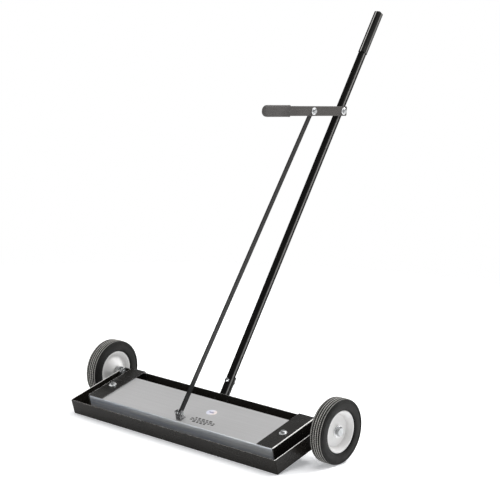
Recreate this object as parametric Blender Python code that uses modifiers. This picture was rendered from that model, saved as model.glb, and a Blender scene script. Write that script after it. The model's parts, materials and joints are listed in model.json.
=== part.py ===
"""Push-along magnetic nail sweeper whose lever lifts the magnet bar out of its tray.

Metres, +Z up. X runs along the tray, -Y is the nose and +Y is the side of the person pushing.
The tray, handle and magnet bar are laid out in a level deck frame whose origin is the middle of
the wheel axle line, and the whole deck then tips forward until the nose stands on the floor.
"""
from math import asin, atan2, cos, hypot, pi, radians, sin

import bmesh
import bpy
from mathutils import Euler, Matrix, Vector

INCH = 0.0254
GAP = 0.0003

# Wheels, 7 inch
WHEEL_RADIUS = 3.61 * INCH
WHEEL_STEPS = 40
AXLE_HEIGHT = WHEEL_RADIUS * cos(pi / WHEEL_STEPS)
WHEEL_X = 0.429
TYRE_WIDTH = 0.042
TYRE_SHOULDER = 0.0045
TYRE_BEAD_RADIUS = 0.0597
TYRE_BEAD_INSET = 0.002
TYRE_RIDGE_RADIUS = 0.0550
TYRE_RIDGE_HALF_BASE = 0.0117
TYRE_RIDGE_HALF_TIP = 0.0094
HUB_RADIUS = 0.0592
HUB_GROOVE_RADIUS = TYRE_RIDGE_RADIUS - GAP
HUB_GROOVE_HALF_TOP = 0.0120
HUB_GROOVE_HALF_FLOOR = 0.0098
HUB_LIP_HEIGHT = 0.0170
HUB_LIP_WIDTH = 0.0047
BUSHING_RADIUS = 0.0115
BUSHING_OUTER_END = 0.0055
BUSHING_INNER_END = -0.024

# Debris tray, folded from sheet
TRAY_LENGTH = 0.779
TRAY_FRONT_Y = -0.2125
TRAY_BACK_Y = 0.0147
TRAY_TOP_Z = 0.0089
TRAY_BOTTOM_Z = -0.0377
TRAY_SHEET = 0.0015
TRAY_BEND = 0.003
NOSE_RAKE = 0.0026

# Magnet bar
BAR_LENGTH = 0.705
BAR_FRONT_Y = -0.1748
BAR_BACK_Y = -0.0276
STRAP_TOP_Z = 0.0165
STRAP_SHEET = 0.002
STRAP_WIDTH = 0.057
STRAP_BOLT_X = 0.326
STRAP_BOLT_Y = -0.0978
FLANGE_BOTTOM_Z = -0.024
FLANGE_BACK_Y = -0.008
FLANGE_TAIL_HEIGHT = 0.0045
STRAP_BEND = 0.003
COVER_TOP_Z = STRAP_TOP_Z - STRAP_SHEET - GAP
COVER_BOTTOM_Z = TRAY_BOTTOM_Z + TRAY_SHEET + 0.0004
COVER_SHEET = 0.002
COVER_BEND = 0.0035
FACE_PLATE_THICKNESS = 0.0015
MAGNET_COUNT = 4
MAGNET_LENGTH = 6 * INCH
MAGNET_DEPTH = 4 * INCH
MAGNET_HEIGHT = 1 * INCH
MAGNET_BOTTOM_Z = COVER_BOTTOM_Z + FACE_PLATE_THICKNESS + GAP
BACK_PLATE_THICKNESS = 0.005
BACK_PLATE_Z = MAGNET_BOTTOM_Z + MAGNET_HEIGHT + GAP + BACK_PLATE_THICKNESS / 2

# Hinge line along the top of the tray's back wall
HINGE = Vector((0, 0.0093, 0.0128))
KNUCKLE_RADIUS = 0.0036
PIN_RADIUS = 0.00175
MOVING_KNUCKLE_LENGTH = 0.028
KNUCKLE_GAP = 0.0005
LEAF_SHEET = 0.0012
LEAF_BOTTOM_Z = -0.018
LEAF_NOTCH_Z = 0.008
RIVET_RADIUS = 0.0024
RIVET_HEAD_RADIUS = 0.0046
RIVET_HEAD_HEIGHT = 0.0024
LEAF_RIVET_Z = -0.008

# Handle, 3/4 inch square tube leaning back from the tray's back wall
HANDLE_BASE = Vector((0, 0.0284, -0.0013))
HANDLE_LEAN = radians(46.61)
HANDLE_LENGTH = 1.2734
TUBE_WIDTH = 0.75 * INCH
TUBE_WALL = 0.0016
TUBE_CORNER = 0.0026
HANDLE_GRIP_LENGTH = 0.1435
GRIP_WALL = 0.0016
GRIP_CORNER = 0.0042
BRACKET_THICKNESS = 0.004
BRACKET_FOOT_WIDTH = 0.062
BRACKET_FOOT_TOP_Z = 0.0065
BRACKET_FOOT_BOTTOM_Z = -0.0315
BRACKET_ARM_LENGTH = 0.085
BRACKET_RIVET_X = 0.023
BRACKET_RIVET_Z = -0.012
HANDLE_BOLT_UP = 0.041

# Lever and link
PIVOT_UP = 36.63 * INCH
LEVER_RISE = radians(18.1)
LEVER_BOLT_SPAN = 0.145
LEVER_HEIGHT = 0.0285
LEVER_THICKNESS = 0.005
LEVER_TAIL = 0.016
LEVER_LENGTH = 0.377
LEVER_GRIP_LENGTH = 0.120
LEVER_GRIP_HEIGHT = 0.0345
LEVER_GRIP_THICKNESS = 0.0115
LEVER_GRIP_END = 0.0025
LEVER_CORNER = 0.003
LEVER_TIP_CORNER = 0.008
LEVER_GRIP_MOUTH_CORNER = 0.0016
LEVER_GRIP_TIP_CORNER = 0.0105
LEVER_GRIP_EDGE = 0.0022
LINK_WIDTH = 0.0145
LINK_THICKNESS = 0.0045
LINK_PIN_CLEARANCE = 0.0008

# Clevis that ties the link to the magnet bar
CLEVIS_Y = -0.1626
CLEVIS_PIN_Z = 0.0345
CLEVIS_SHEET = 0.0025
CLEVIS_INNER_WIDTH = 0.012
CLEVIS_SIDE_PLAY = 0.0005
CLEVIS_EAR_RADIUS = 0.008
CLEVIS_BASE_FRONT_Y = -0.171
CLEVIS_BASE_BACK_Y = -0.149
CLEVIS_SCREW_Y = -0.160

# Fasteners: shank radius, width across flats, head height, nut height, washer radius
AXLE_BOLT = (0.0079, 0.0238, 0.0095, 0.0095, 0.0167)
M8 = (0.004, 0.013, 0.0053, 0.0065, 0.011)
M6 = (0.003, 0.010, 0.0040, 0.0050, 0.006)
M5 = (0.0025, 0.008, 0.0030, 0.0040, 0.005)
WASHER_THICKNESS = 0.0016
AXLE_WASHER_THICKNESS = 0.0024
HEAD_CHAMFER = 0.0006
BOLT_TIP = 0.003

ALONG_X = (0, radians(90), 0)
AGAINST_X = (0, radians(-90), 0)
ALONG_Y = (radians(-90), 0, 0)
IN_YZ_PLANE = (radians(90), 0, radians(90))

SIDES = (("left", -1), ("right", 1))


def clear_scene():
    for obj in list(bpy.data.objects):
        bpy.data.objects.remove(obj, do_unlink=True)


def new_collection(name):
    collection = bpy.data.collections.new(name)
    bpy.context.scene.collection.children.link(collection)
    return collection


def new_material(name, colour, roughness, metallic=0.0):
    material = bpy.data.materials.new(name)
    material.use_nodes = True
    shader = material.node_tree.nodes["Principled BSDF"]
    shader.inputs["Base Color"].default_value = (*colour, 1.0)
    shader.inputs["Roughness"].default_value = roughness
    shader.inputs["Metallic"].default_value = metallic
    return material


def new_empty(name, parent=None, location=(0, 0, 0), rotation=(0, 0, 0)):
    empty = bpy.data.objects.new(name, None)
    PARTS.objects.link(empty)
    empty.parent = parent
    empty.location = location
    empty.rotation_euler = rotation
    return empty


def new_part(name, data, material, parent, location=(0, 0, 0), rotation=(0, 0, 0)):
    part = bpy.data.objects.new(name, data)
    PARTS.objects.link(part)
    part.parent = parent
    part.location = location
    part.rotation_euler = rotation
    data.materials.append(material)
    return part


def smooth(mesh, angle=radians(35)):
    mesh.shade_smooth()
    mesh.set_sharp_from_angle(angle=angle)


def box_mesh(name, size):
    bm = bmesh.new()
    bmesh.ops.create_cube(bm, size=1.0)
    bmesh.ops.scale(bm, vec=size, verts=bm.verts)
    mesh = bpy.data.meshes.new(name)
    bm.to_mesh(mesh)
    bm.free()
    return mesh


def cylinder_mesh(name, radius, length, segments=16):
    bm = bmesh.new()
    bmesh.ops.create_cone(bm, cap_ends=True, segments=segments,
                          radius1=radius, radius2=radius, depth=length)
    mesh = bpy.data.meshes.new(name)
    bm.to_mesh(mesh)
    bm.free()
    smooth(mesh)
    return mesh


def shell_mesh(name, size, keep_face):
    """The faces of a box that keep_face accepts by their outward normal."""
    bm = bmesh.new()
    bmesh.ops.create_cube(bm, size=1.0)
    bmesh.ops.scale(bm, vec=size, verts=bm.verts)
    bm.normal_update()
    unwanted = [face for face in bm.faces if not keep_face(face.normal)]
    bmesh.ops.delete(bm, geom=unwanted, context="FACES")
    mesh = bpy.data.meshes.new(name)
    bm.to_mesh(mesh)
    bm.free()
    return mesh


def add_bevel(part, width, segments=3):
    bevel = part.modifiers.new("rounded edges", "BEVEL")
    bevel.width = width
    bevel.segments = segments
    bevel.limit_method = "ANGLE"
    return bevel


def add_solidify(part, thickness):
    """Thickens a surface inwards, away from its normals."""
    solidify = part.modifiers.new("sheet", "SOLIDIFY")
    solidify.thickness = thickness
    solidify.offset = -1
    solidify.use_even_offset = True
    return solidify


def add_boolean(part, other, operation):
    boolean = part.modifiers.new(other.name, "BOOLEAN")
    boolean.operation = operation
    boolean.object = other
    return boolean


def new_tool(name, mesh, parent, location=(0, 0, 0), rotation=(0, 0, 0)):
    """A helper solid that Boolean modifiers add or cut."""
    tool = bpy.data.objects.new(name, mesh)
    CUTTERS.objects.link(tool)
    tool.parent = parent
    tool.location = location
    tool.rotation_euler = rotation
    tool.hide_render = True
    tool.display_type = "WIRE"
    return tool


def drill(part, name, radius, length, parent, location, rotation=(0, 0, 0)):
    mesh = cylinder_mesh(name, radius, length)
    tool = new_tool(name, mesh, parent, location, rotation)
    add_boolean(part, tool, "DIFFERENCE")


def arc(centre_x, centre_y, radius, start, end, steps):
    return [(centre_x + radius * cos(start + (end - start) * i / steps),
             centre_y + radius * sin(start + (end - start) * i / steps)) for i in range(steps + 1)]


def circle(radius, steps=18, centre=(0, 0)):
    return arc(centre[0], centre[1], radius, 0, 2 * pi, steps)[:-1]


def hexagon(across_flats):
    return circle(across_flats / 2 / cos(pi / 6), 6)


def rounded_rectangle(left, right, bottom, top, radius, right_radius=None, steps=4):
    """A rectangle with round corners; the two at its right end may have a radius of their own."""
    tip = radius if right_radius is None else right_radius
    corners = ((right - tip, top - tip, tip), (left + radius, top - radius, radius),
               (left + radius, bottom + radius, radius), (right - tip, bottom + tip, tip))
    points = []
    for quarter, (x, y, corner) in enumerate(corners):
        points += arc(x, y, corner, quarter * pi / 2, (quarter + 1) * pi / 2, steps)
    return points


def outline_curve(name, outline, holes, thickness):
    """A flat plate, half its thickness to each side of its own XY plane."""
    curve = bpy.data.curves.new(name, "CURVE")
    curve.dimensions = "2D"
    curve.fill_mode = "BOTH"
    curve.extrude = thickness / 2
    for points in (outline, *holes):
        spline = curve.splines.new("POLY")
        spline.points.add(len(points) - 1)
        for point, (x, y) in zip(spline.points, points):
            point.co = (x, y, 0, 1)
        spline.use_cyclic_u = True
    return curve


def outline_mesh(name, outline, holes, thickness):
    """The same plate as a welded mesh, for pieces that a Boolean joins or cuts."""
    curve = outline_curve(name, outline, holes, thickness)
    guide = bpy.data.objects.new(name + "_outline", curve)
    CUTTERS.objects.link(guide)
    depsgraph = bpy.context.evaluated_depsgraph_get()
    mesh = bpy.data.meshes.new_from_object(guide.evaluated_get(depsgraph))
    bpy.data.objects.remove(guide)
    bm = bmesh.new()
    bm.from_mesh(mesh)
    bmesh.ops.remove_doubles(bm, verts=bm.verts, dist=0.00001)
    bm.to_mesh(mesh)
    bm.free()
    mesh.name = name
    return mesh


def turned_part(name, profile, closed, material, parent, location, rotation, steps=24):
    """Turns a profile of (radius, height) points about its own Z, outer side from top to bottom."""
    bm = bmesh.new()
    verts = [bm.verts.new((radius, 0, height)) for radius, height in profile]
    for first, second in zip(verts, verts[1:]):
        bm.edges.new((first, second))
    if closed:
        bm.edges.new((verts[-1], verts[0]))
    mesh = bpy.data.meshes.new(name)
    bm.to_mesh(mesh)
    bm.free()
    part = new_part(name, mesh, material, parent, location, rotation)
    screw = part.modifiers.new("turned", "SCREW")
    screw.steps = steps
    screw.render_steps = steps
    screw.use_merge_vertices = True
    screw.merge_threshold = 0.00001
    screw.use_smooth_shade = True
    return part


def washer(name, size, thickness, material, parent, location, rotation):
    shank_radius, outer_radius = size[0], size[4]
    curve = outline_curve(name, circle(outer_radius), [circle(shank_radius + GAP, 12)], thickness)
    return new_part(name, curve, material, parent, location, rotation)


def nut(name, size, material, parent, location, rotation):
    """A hex nut centred on its location."""
    shank_radius, across_flats, _, height, _ = size
    curve = outline_curve(name, hexagon(across_flats), [circle(shank_radius + GAP, 12)], height)
    return new_part(name, curve, material, parent, location, rotation)


def hex_bolt(name, size, length, material, parent, location, rotation):
    """The underside of the head is at the location, the shank runs down local -Z for the length."""
    shank_radius, across_flats, head_height, _, _ = size
    head = cylinder_mesh(name, across_flats / 2 / cos(pi / 6), head_height, 6)
    head.transform(shift_up(head_height / 2))
    bolt = new_part(name, head, material, parent, location, rotation)
    add_bevel(bolt, HEAD_CHAMFER, 1)
    sunk = head_height / 2
    shank = cylinder_mesh(name + "_shank", shank_radius, length + sunk, 12)
    shank.transform(shift_up((sunk - length) / 2))
    tool = new_tool(name + "_shank", shank, parent, location, rotation)
    add_boolean(bolt, tool, "UNION")
    return bolt


def shift_up(distance):
    return Matrix.Translation((0, 0, distance))


def rivet(name, grip, material, parent, location, rotation):
    """Two domed heads on a shank; the grip is the stack between them, centred on the location."""
    half = grip / 2 + GAP
    crown = half + RIVET_HEAD_HEIGHT
    rim = half + RIVET_HEAD_HEIGHT * 0.3
    profile = [(0, crown), (RIVET_HEAD_RADIUS * 0.6, crown - RIVET_HEAD_HEIGHT * 0.18),
               (RIVET_HEAD_RADIUS, rim), (RIVET_HEAD_RADIUS, half), (RIVET_RADIUS, half),
               (RIVET_RADIUS, -half), (RIVET_HEAD_RADIUS, -half), (RIVET_HEAD_RADIUS, -rim),
               (RIVET_HEAD_RADIUS * 0.6, RIVET_HEAD_HEIGHT * 0.18 - crown), (0, -crown)]
    return turned_part(name, profile, False, material, parent, location, rotation, 12)


def deck_tilt():
    """How far the deck tips forward about the axle until the rounded nose edge meets the floor."""
    bend_y = TRAY_FRONT_Y + NOSE_RAKE + TRAY_BEND
    bend_z = TRAY_BOTTOM_Z + TRAY_BEND
    reach = hypot(bend_y, bend_z)
    return asin((AXLE_HEIGHT - TRAY_BEND) / reach) - atan2(-bend_z, -bend_y)


def in_yz_plane(angle):
    """Stands a flat outline in the YZ plane with its own X at the angle from +Y towards +Z."""
    return (Matrix.Rotation(angle, 3, "X") @ Euler(IN_YZ_PLANE).to_matrix()).to_euler()


def from_hinge(x, y, z):
    return Vector((x, y, z)) - HINGE


# ---------------------------------------------------------------- tray

def build_tray(deck):
    depth = TRAY_BACK_Y - TRAY_FRONT_Y
    height = TRAY_TOP_Z - TRAY_BOTTOM_Z
    mesh = shell_mesh("debris_tray", (TRAY_LENGTH, depth, height), lambda normal: normal.z < 0.5)
    for vertex in mesh.vertices:
        if vertex.co.y < 0 and vertex.co.z < 0:
            vertex.co.y += NOSE_RAKE
    centre = (0, (TRAY_BACK_Y + TRAY_FRONT_Y) / 2, (TRAY_TOP_Z + TRAY_BOTTOM_Z) / 2)
    tray = new_part("debris_tray", mesh, BLACK_PAINT, deck, centre)
    add_bevel(tray, TRAY_BEND)
    add_solidify(tray, TRAY_SHEET)
    for side, sign in SIDES:
        drill(tray, f"axle_hole_{side}", AXLE_BOLT[0] + GAP, 0.012, deck,
              (sign * (TRAY_LENGTH / 2 - TRAY_SHEET / 2), 0, 0), ALONG_X)
        drill(tray, f"leaf_rivet_hole_{side}", RIVET_RADIUS + GAP, 0.008, deck,
              (sign * strap_centre_x(), TRAY_BACK_Y, LEAF_RIVET_Z), ALONG_Y)
        drill(tray, f"bracket_rivet_hole_{side}", RIVET_RADIUS + GAP, 0.008, deck,
              (sign * BRACKET_RIVET_X, TRAY_BACK_Y, BRACKET_RIVET_Z), ALONG_Y)


# ---------------------------------------------------------------- hinges

def strap_centre_x():
    return (BAR_LENGTH - STRAP_WIDTH) / 2


def build_hinge(side, sign, deck):
    centre_x = sign * strap_centre_x()
    wall_y = TRAY_BACK_Y - TRAY_SHEET
    leaf_y = wall_y - GAP - LEAF_SHEET / 2
    leaf_height = HINGE.z - LEAF_BOTTOM_Z
    leaf = new_part(f"hinge_leaf_{side}",
                    box_mesh(f"hinge_leaf_{side}", (STRAP_WIDTH, LEAF_SHEET, leaf_height)),
                    BLACK_PAINT, deck, (centre_x, leaf_y, HINGE.z - leaf_height / 2))
    barrel = new_tool(f"leaf_barrel_{side}",
                      cylinder_mesh(f"leaf_barrel_{side}", KNUCKLE_RADIUS, STRAP_WIDTH, 16),
                      deck, (centre_x, HINGE.y, HINGE.z), ALONG_X)
    add_boolean(leaf, barrel, "UNION")
    notch_width = MOVING_KNUCKLE_LENGTH + 2 * KNUCKLE_GAP
    notch_height = 0.02
    notch = new_tool(f"leaf_notch_{side}",
                     box_mesh(f"leaf_notch_{side}", (notch_width, 0.02, notch_height)),
                     deck, (centre_x, HINGE.y, LEAF_NOTCH_Z + notch_height / 2))
    add_boolean(leaf, notch, "DIFFERENCE")
    drill(leaf, f"leaf_pin_hole_{side}", PIN_RADIUS + GAP, STRAP_WIDTH + 0.01, deck,
          (centre_x, HINGE.y, HINGE.z), ALONG_X)
    drill(leaf, f"leaf_rivet_bore_{side}", RIVET_RADIUS + GAP, 0.006, deck,
          (centre_x, leaf_y, LEAF_RIVET_Z), ALONG_Y)
    new_part(f"hinge_pin_{side}", cylinder_mesh(f"hinge_pin_{side}", PIN_RADIUS, STRAP_WIDTH, 12),
             ZINC, deck, (centre_x, HINGE.y, HINGE.z), ALONG_X)
    grip = TRAY_SHEET + GAP + LEAF_SHEET
    rivet(f"hinge_rivet_{side}", grip, BLACK_PAINT, deck,
          (centre_x, TRAY_BACK_Y - grip / 2, LEAF_RIVET_Z), ALONG_Y)


def build_strap(side, sign, bar):
    """Folded strap: a leaf on top of the bar, a flange down its end and a hinge knuckle behind."""
    shoulder_y = HINGE.y - KNUCKLE_RADIUS - KNUCKLE_GAP
    length = shoulder_y - BAR_FRONT_Y
    height = STRAP_TOP_Z - FLANGE_BOTTOM_Z
    mesh = shell_mesh(f"end_strap_{side}", (STRAP_WIDTH, length, height),
                      lambda normal: normal.z > 0.5 or normal.x * sign > 0.5)
    centre = from_hinge(sign * strap_centre_x(), (shoulder_y + BAR_FRONT_Y) / 2,
                        (STRAP_TOP_Z + FLANGE_BOTTOM_Z) / 2)
    strap = new_part(f"end_strap_{side}", mesh, BLACK_PAINT, bar, centre)
    add_bevel(strap, STRAP_BEND)
    add_solidify(strap, STRAP_SHEET)

    trim_length = 0.04
    trim_top_z = STRAP_TOP_Z - FLANGE_TAIL_HEIGHT
    trim = new_tool(f"flange_trim_{side}",
                    box_mesh(f"flange_trim_{side}", (0.02, trim_length, height)), bar,
                    from_hinge(sign * BAR_LENGTH / 2, FLANGE_BACK_Y + trim_length / 2,
                               trim_top_z - height / 2))
    add_boolean(strap, trim, "DIFFERENCE")

    tongue_length = 0.008
    tongue_end_y = HINGE.y - KNUCKLE_GAP
    tongue = new_tool(f"strap_tongue_{side}",
                      box_mesh(f"strap_tongue_{side}",
                               (MOVING_KNUCKLE_LENGTH, tongue_length, STRAP_SHEET)), bar,
                      from_hinge(sign * strap_centre_x(), tongue_end_y - tongue_length / 2,
                                 STRAP_TOP_Z - STRAP_SHEET / 2))
    add_boolean(strap, tongue, "UNION")
    barrel = new_tool(f"strap_barrel_{side}",
                      cylinder_mesh(f"strap_barrel_{side}", KNUCKLE_RADIUS,
                                    MOVING_KNUCKLE_LENGTH, 16), bar,
                      from_hinge(sign * strap_centre_x(), HINGE.y, HINGE.z), ALONG_X)
    add_boolean(strap, barrel, "UNION")
    drill(strap, f"strap_pin_hole_{side}", PIN_RADIUS + GAP, STRAP_WIDTH + 0.01, bar,
          from_hinge(sign * strap_centre_x(), HINGE.y, HINGE.z), ALONG_X)
    drill(strap, f"strap_bolt_hole_{side}", M8[0] + GAP, 0.02, bar,
          from_hinge(sign * STRAP_BOLT_X, STRAP_BOLT_Y, STRAP_TOP_Z))

    washer_z = STRAP_TOP_Z + GAP + WASHER_THICKNESS / 2
    washer(f"strap_washer_{side}", M8, WASHER_THICKNESS, ZINC, bar,
           from_hinge(sign * STRAP_BOLT_X, STRAP_BOLT_Y, washer_z), (0, 0, 0))
    head_z = STRAP_TOP_Z + 2 * GAP + WASHER_THICKNESS
    hex_bolt(f"strap_bolt_{side}", M8, head_z - BACK_PLATE_Z, ZINC, bar,
             from_hinge(sign * STRAP_BOLT_X, STRAP_BOLT_Y, head_z), (0, 0, radians(12)))


# ---------------------------------------------------------------- magnet bar

def drill_for_bar_bolts(plate, label, z, bar):
    """Holes at one height for the two strap bolts and the clevis screw."""
    for side, sign in SIDES:
        drill(plate, f"{label}_bolt_hole_{side}", M8[0] + GAP, 0.01, bar,
              from_hinge(sign * STRAP_BOLT_X, STRAP_BOLT_Y, z))
    drill(plate, f"{label}_screw_hole", M5[0] + GAP, 0.01, bar,
          from_hinge(clevis_centre_x(), CLEVIS_SCREW_Y, z))


def build_bar(bar):
    end_gap = STRAP_SHEET + GAP
    length = BAR_LENGTH - 2 * end_gap
    depth = BAR_BACK_Y - BAR_FRONT_Y
    height = COVER_TOP_Z - COVER_BOTTOM_Z
    centre_y = (BAR_FRONT_Y + BAR_BACK_Y) / 2
    mesh = shell_mesh("magnet_cover", (length, depth, height), lambda normal: normal.z > -0.5)
    cover = new_part("magnet_cover", mesh, ALUMINIUM, bar,
                     from_hinge(0, centre_y, (COVER_TOP_Z + COVER_BOTTOM_Z) / 2))
    add_bevel(cover, COVER_BEND)
    add_solidify(cover, COVER_SHEET)
    drill_for_bar_bolts(cover, "cover", COVER_TOP_Z, bar)

    inner_length = length - 2 * (COVER_SHEET + 2 * GAP)
    inner_depth = depth - 2 * (COVER_SHEET + 2 * GAP)
    face_plate_z = COVER_BOTTOM_Z + FACE_PLATE_THICKNESS / 2
    new_part("magnet_face_plate",
             box_mesh("magnet_face_plate", (inner_length, inner_depth, FACE_PLATE_THICKNESS)),
             STAINLESS, bar, from_hinge(0, centre_y, face_plate_z))
    pitch = inner_length / MAGNET_COUNT
    for index in range(MAGNET_COUNT):
        magnet = new_part(f"magnet_block_{index + 1}",
                          box_mesh(f"magnet_block_{index + 1}",
                                   (MAGNET_LENGTH, MAGNET_DEPTH, MAGNET_HEIGHT)),
                          FERRITE, bar,
                          from_hinge((index - (MAGNET_COUNT - 1) / 2) * pitch, centre_y,
                                     MAGNET_BOTTOM_Z + MAGNET_HEIGHT / 2))
        add_bevel(magnet, 0.001, 1)
    plate = new_part("magnet_back_plate",
                     box_mesh("magnet_back_plate",
                              (inner_length, inner_depth, BACK_PLATE_THICKNESS)),
                     STEEL, bar, from_hinge(0, centre_y, BACK_PLATE_Z))
    drill_for_bar_bolts(plate, "plate", BACK_PLATE_Z, bar)


# ---------------------------------------------------------------- link and clevis

def lever_inner_x():
    return TUBE_WIDTH / 2 + 2 * GAP + WASHER_THICKNESS


def link_centre_x():
    return lever_inner_x() - GAP - LINK_THICKNESS / 2


def clevis_centre_x():
    """The link runs close to the clevis's right ear."""
    return link_centre_x() + LINK_THICKNESS / 2 + CLEVIS_SIDE_PLAY - CLEVIS_INNER_WIDTH / 2


def build_clevis(bar):
    half_width = CLEVIS_INNER_WIDTH / 2 + CLEVIS_SHEET
    base_z = COVER_TOP_Z + GAP
    centre_x = clevis_centre_x()
    base_y = (CLEVIS_BASE_FRONT_Y + CLEVIS_BASE_BACK_Y) / 2
    half_length = (CLEVIS_BASE_BACK_Y - CLEVIS_BASE_FRONT_Y) / 2
    base_points = rounded_rectangle(-half_width, half_width, -half_length, half_length, 0.001)
    screw_hole = circle(M5[0] + GAP, 16, (0, CLEVIS_SCREW_Y - base_y))
    clevis = new_part("lift_clevis",
                      outline_mesh("lift_clevis", base_points, [screw_hole], CLEVIS_SHEET), ZINC,
                      bar, from_hinge(centre_x, base_y, base_z + CLEVIS_SHEET / 2))
    ear_height = CLEVIS_PIN_Z - base_z
    ear_points = [(-CLEVIS_EAR_RADIUS, 0), (CLEVIS_EAR_RADIUS, 0)]
    ear_points += arc(0, ear_height, CLEVIS_EAR_RADIUS, 0, pi, 10)
    pin_hole = circle(M6[0] + GAP, 16, (0, ear_height))
    for side, sign in SIDES:
        mesh = outline_mesh(f"clevis_ear_{side}", ear_points, [pin_hole], CLEVIS_SHEET)
        ear_x = centre_x + sign * (CLEVIS_INNER_WIDTH + CLEVIS_SHEET) / 2
        ear = new_tool(f"clevis_ear_{side}", mesh, bar, from_hinge(ear_x, CLEVIS_Y, base_z),
                       IN_YZ_PLANE)
        add_boolean(clevis, ear, "UNION")

    head_z = base_z + CLEVIS_SHEET + GAP
    hex_bolt("clevis_screw", M5, head_z - BACK_PLATE_Z, ZINC, bar,
             from_hinge(centre_x, CLEVIS_SCREW_Y, head_z), (0, 0, radians(20)))
    nut_height = M6[3]
    hex_bolt("clevis_pin_bolt", M6, 2 * half_width + 2 * GAP + nut_height + BOLT_TIP, ZINC, bar,
             from_hinge(centre_x + half_width + GAP, CLEVIS_Y, CLEVIS_PIN_Z), ALONG_X)
    nut("clevis_pin_nut", M6, ZINC, bar,
        from_hinge(centre_x - half_width - GAP - nut_height / 2, CLEVIS_Y, CLEVIS_PIN_Z), ALONG_X)
    spacer_left_x = centre_x - CLEVIS_INNER_WIDTH / 2 + GAP
    spacer_right_x = link_centre_x() - LINK_THICKNESS / 2 - CLEVIS_SIDE_PLAY
    washer("clevis_spacer", M6, spacer_right_x - spacer_left_x, ZINC, bar,
           from_hinge((spacer_left_x + spacer_right_x) / 2, CLEVIS_Y, CLEVIS_PIN_Z), ALONG_X)


def build_link(link_axis, top):
    """Flat bar from its top bolt down to the clevis; the lower hole is the open pivot."""
    bottom = Vector((0, CLEVIS_Y, CLEVIS_PIN_Z))
    span = bottom - top
    length = hypot(span.y, span.z)
    radius = LINK_WIDTH / 2
    points = arc(0, 0, radius, pi / 2, 3 * pi / 2, 10) + arc(length, 0, radius, -pi / 2, pi / 2, 10)
    holes = [circle(M8[0] + GAP, 16), circle(M6[0] + LINK_PIN_CLEARANCE, 16, (length, 0))]
    curve = outline_curve("lift_link", points, holes, LINK_THICKNESS)
    new_part("lift_link", curve, DARK_PAINT, link_axis, (link_centre_x(), 0, 0),
             in_yz_plane(atan2(span.z, span.y)))


# ---------------------------------------------------------------- handle

def build_handle(deck, handle):
    half = TUBE_WIDTH / 2
    tube_length = HANDLE_LENGTH - GRIP_WALL - GAP
    start = -0.03
    points = rounded_rectangle(-half, half, -half, half, TUBE_CORNER)
    bore_half = half - TUBE_WALL
    bore = rounded_rectangle(-bore_half, bore_half, -bore_half, bore_half, TUBE_CORNER - TUBE_WALL,
                             steps=2)
    tube = new_part("handle_tube", outline_mesh("handle_tube", points, [bore], tube_length - start),
                    GLOSS_BLACK, handle, (0, 0, (tube_length + start) / 2))
    wall_clear_y = TRAY_BACK_Y + GAP + BRACKET_THICKNESS + GAP
    mitre_depth = 0.08
    mitre = new_tool("handle_mitre", box_mesh("handle_mitre", (0.06, mitre_depth, 0.16)), deck,
                     (0, wall_clear_y - mitre_depth / 2, 0))
    add_boolean(tube, mitre, "DIFFERENCE")
    drill(tube, "handle_bolt_hole", M8[0] + GAP, 0.06, handle, (0, 0, HANDLE_BOLT_UP), ALONG_Y)
    drill(tube, "pivot_bolt_hole", M8[0] + GAP, 0.06, handle, (0, 0, PIVOT_UP), ALONG_X)

    grip_half = half + GAP + GRIP_WALL
    grip_points = rounded_rectangle(-grip_half, grip_half, -grip_half, grip_half, GRIP_CORNER)
    grip = new_part("handle_grip",
                    outline_mesh("handle_grip", grip_points, [], HANDLE_GRIP_LENGTH), VINYL,
                    handle, (0, 0, HANDLE_LENGTH - HANDLE_GRIP_LENGTH / 2))
    cavity_half = half + GAP
    cavity_points = rounded_rectangle(-cavity_half, cavity_half, -cavity_half, cavity_half,
                                      TUBE_CORNER)
    cavity = new_tool("handle_grip_cavity",
                      outline_mesh("handle_grip_cavity", cavity_points, [], HANDLE_GRIP_LENGTH),
                      handle, (0, 0, HANDLE_LENGTH - HANDLE_GRIP_LENGTH / 2 - GRIP_WALL))
    add_boolean(grip, cavity, "DIFFERENCE")

    head_y = -half - GAP
    grip_stack = TUBE_WIDTH + 2 * GAP + BRACKET_THICKNESS + GAP
    hex_bolt("handle_bolt", M8, grip_stack + M8[3] + BOLT_TIP, ZINC, handle,
             (0, head_y, HANDLE_BOLT_UP), (radians(90), 0, 0))
    nut("handle_bolt_nut", M8, ZINC, handle,
        (0, head_y + grip_stack + GAP + M8[3] / 2, HANDLE_BOLT_UP), ALONG_Y)


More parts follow.
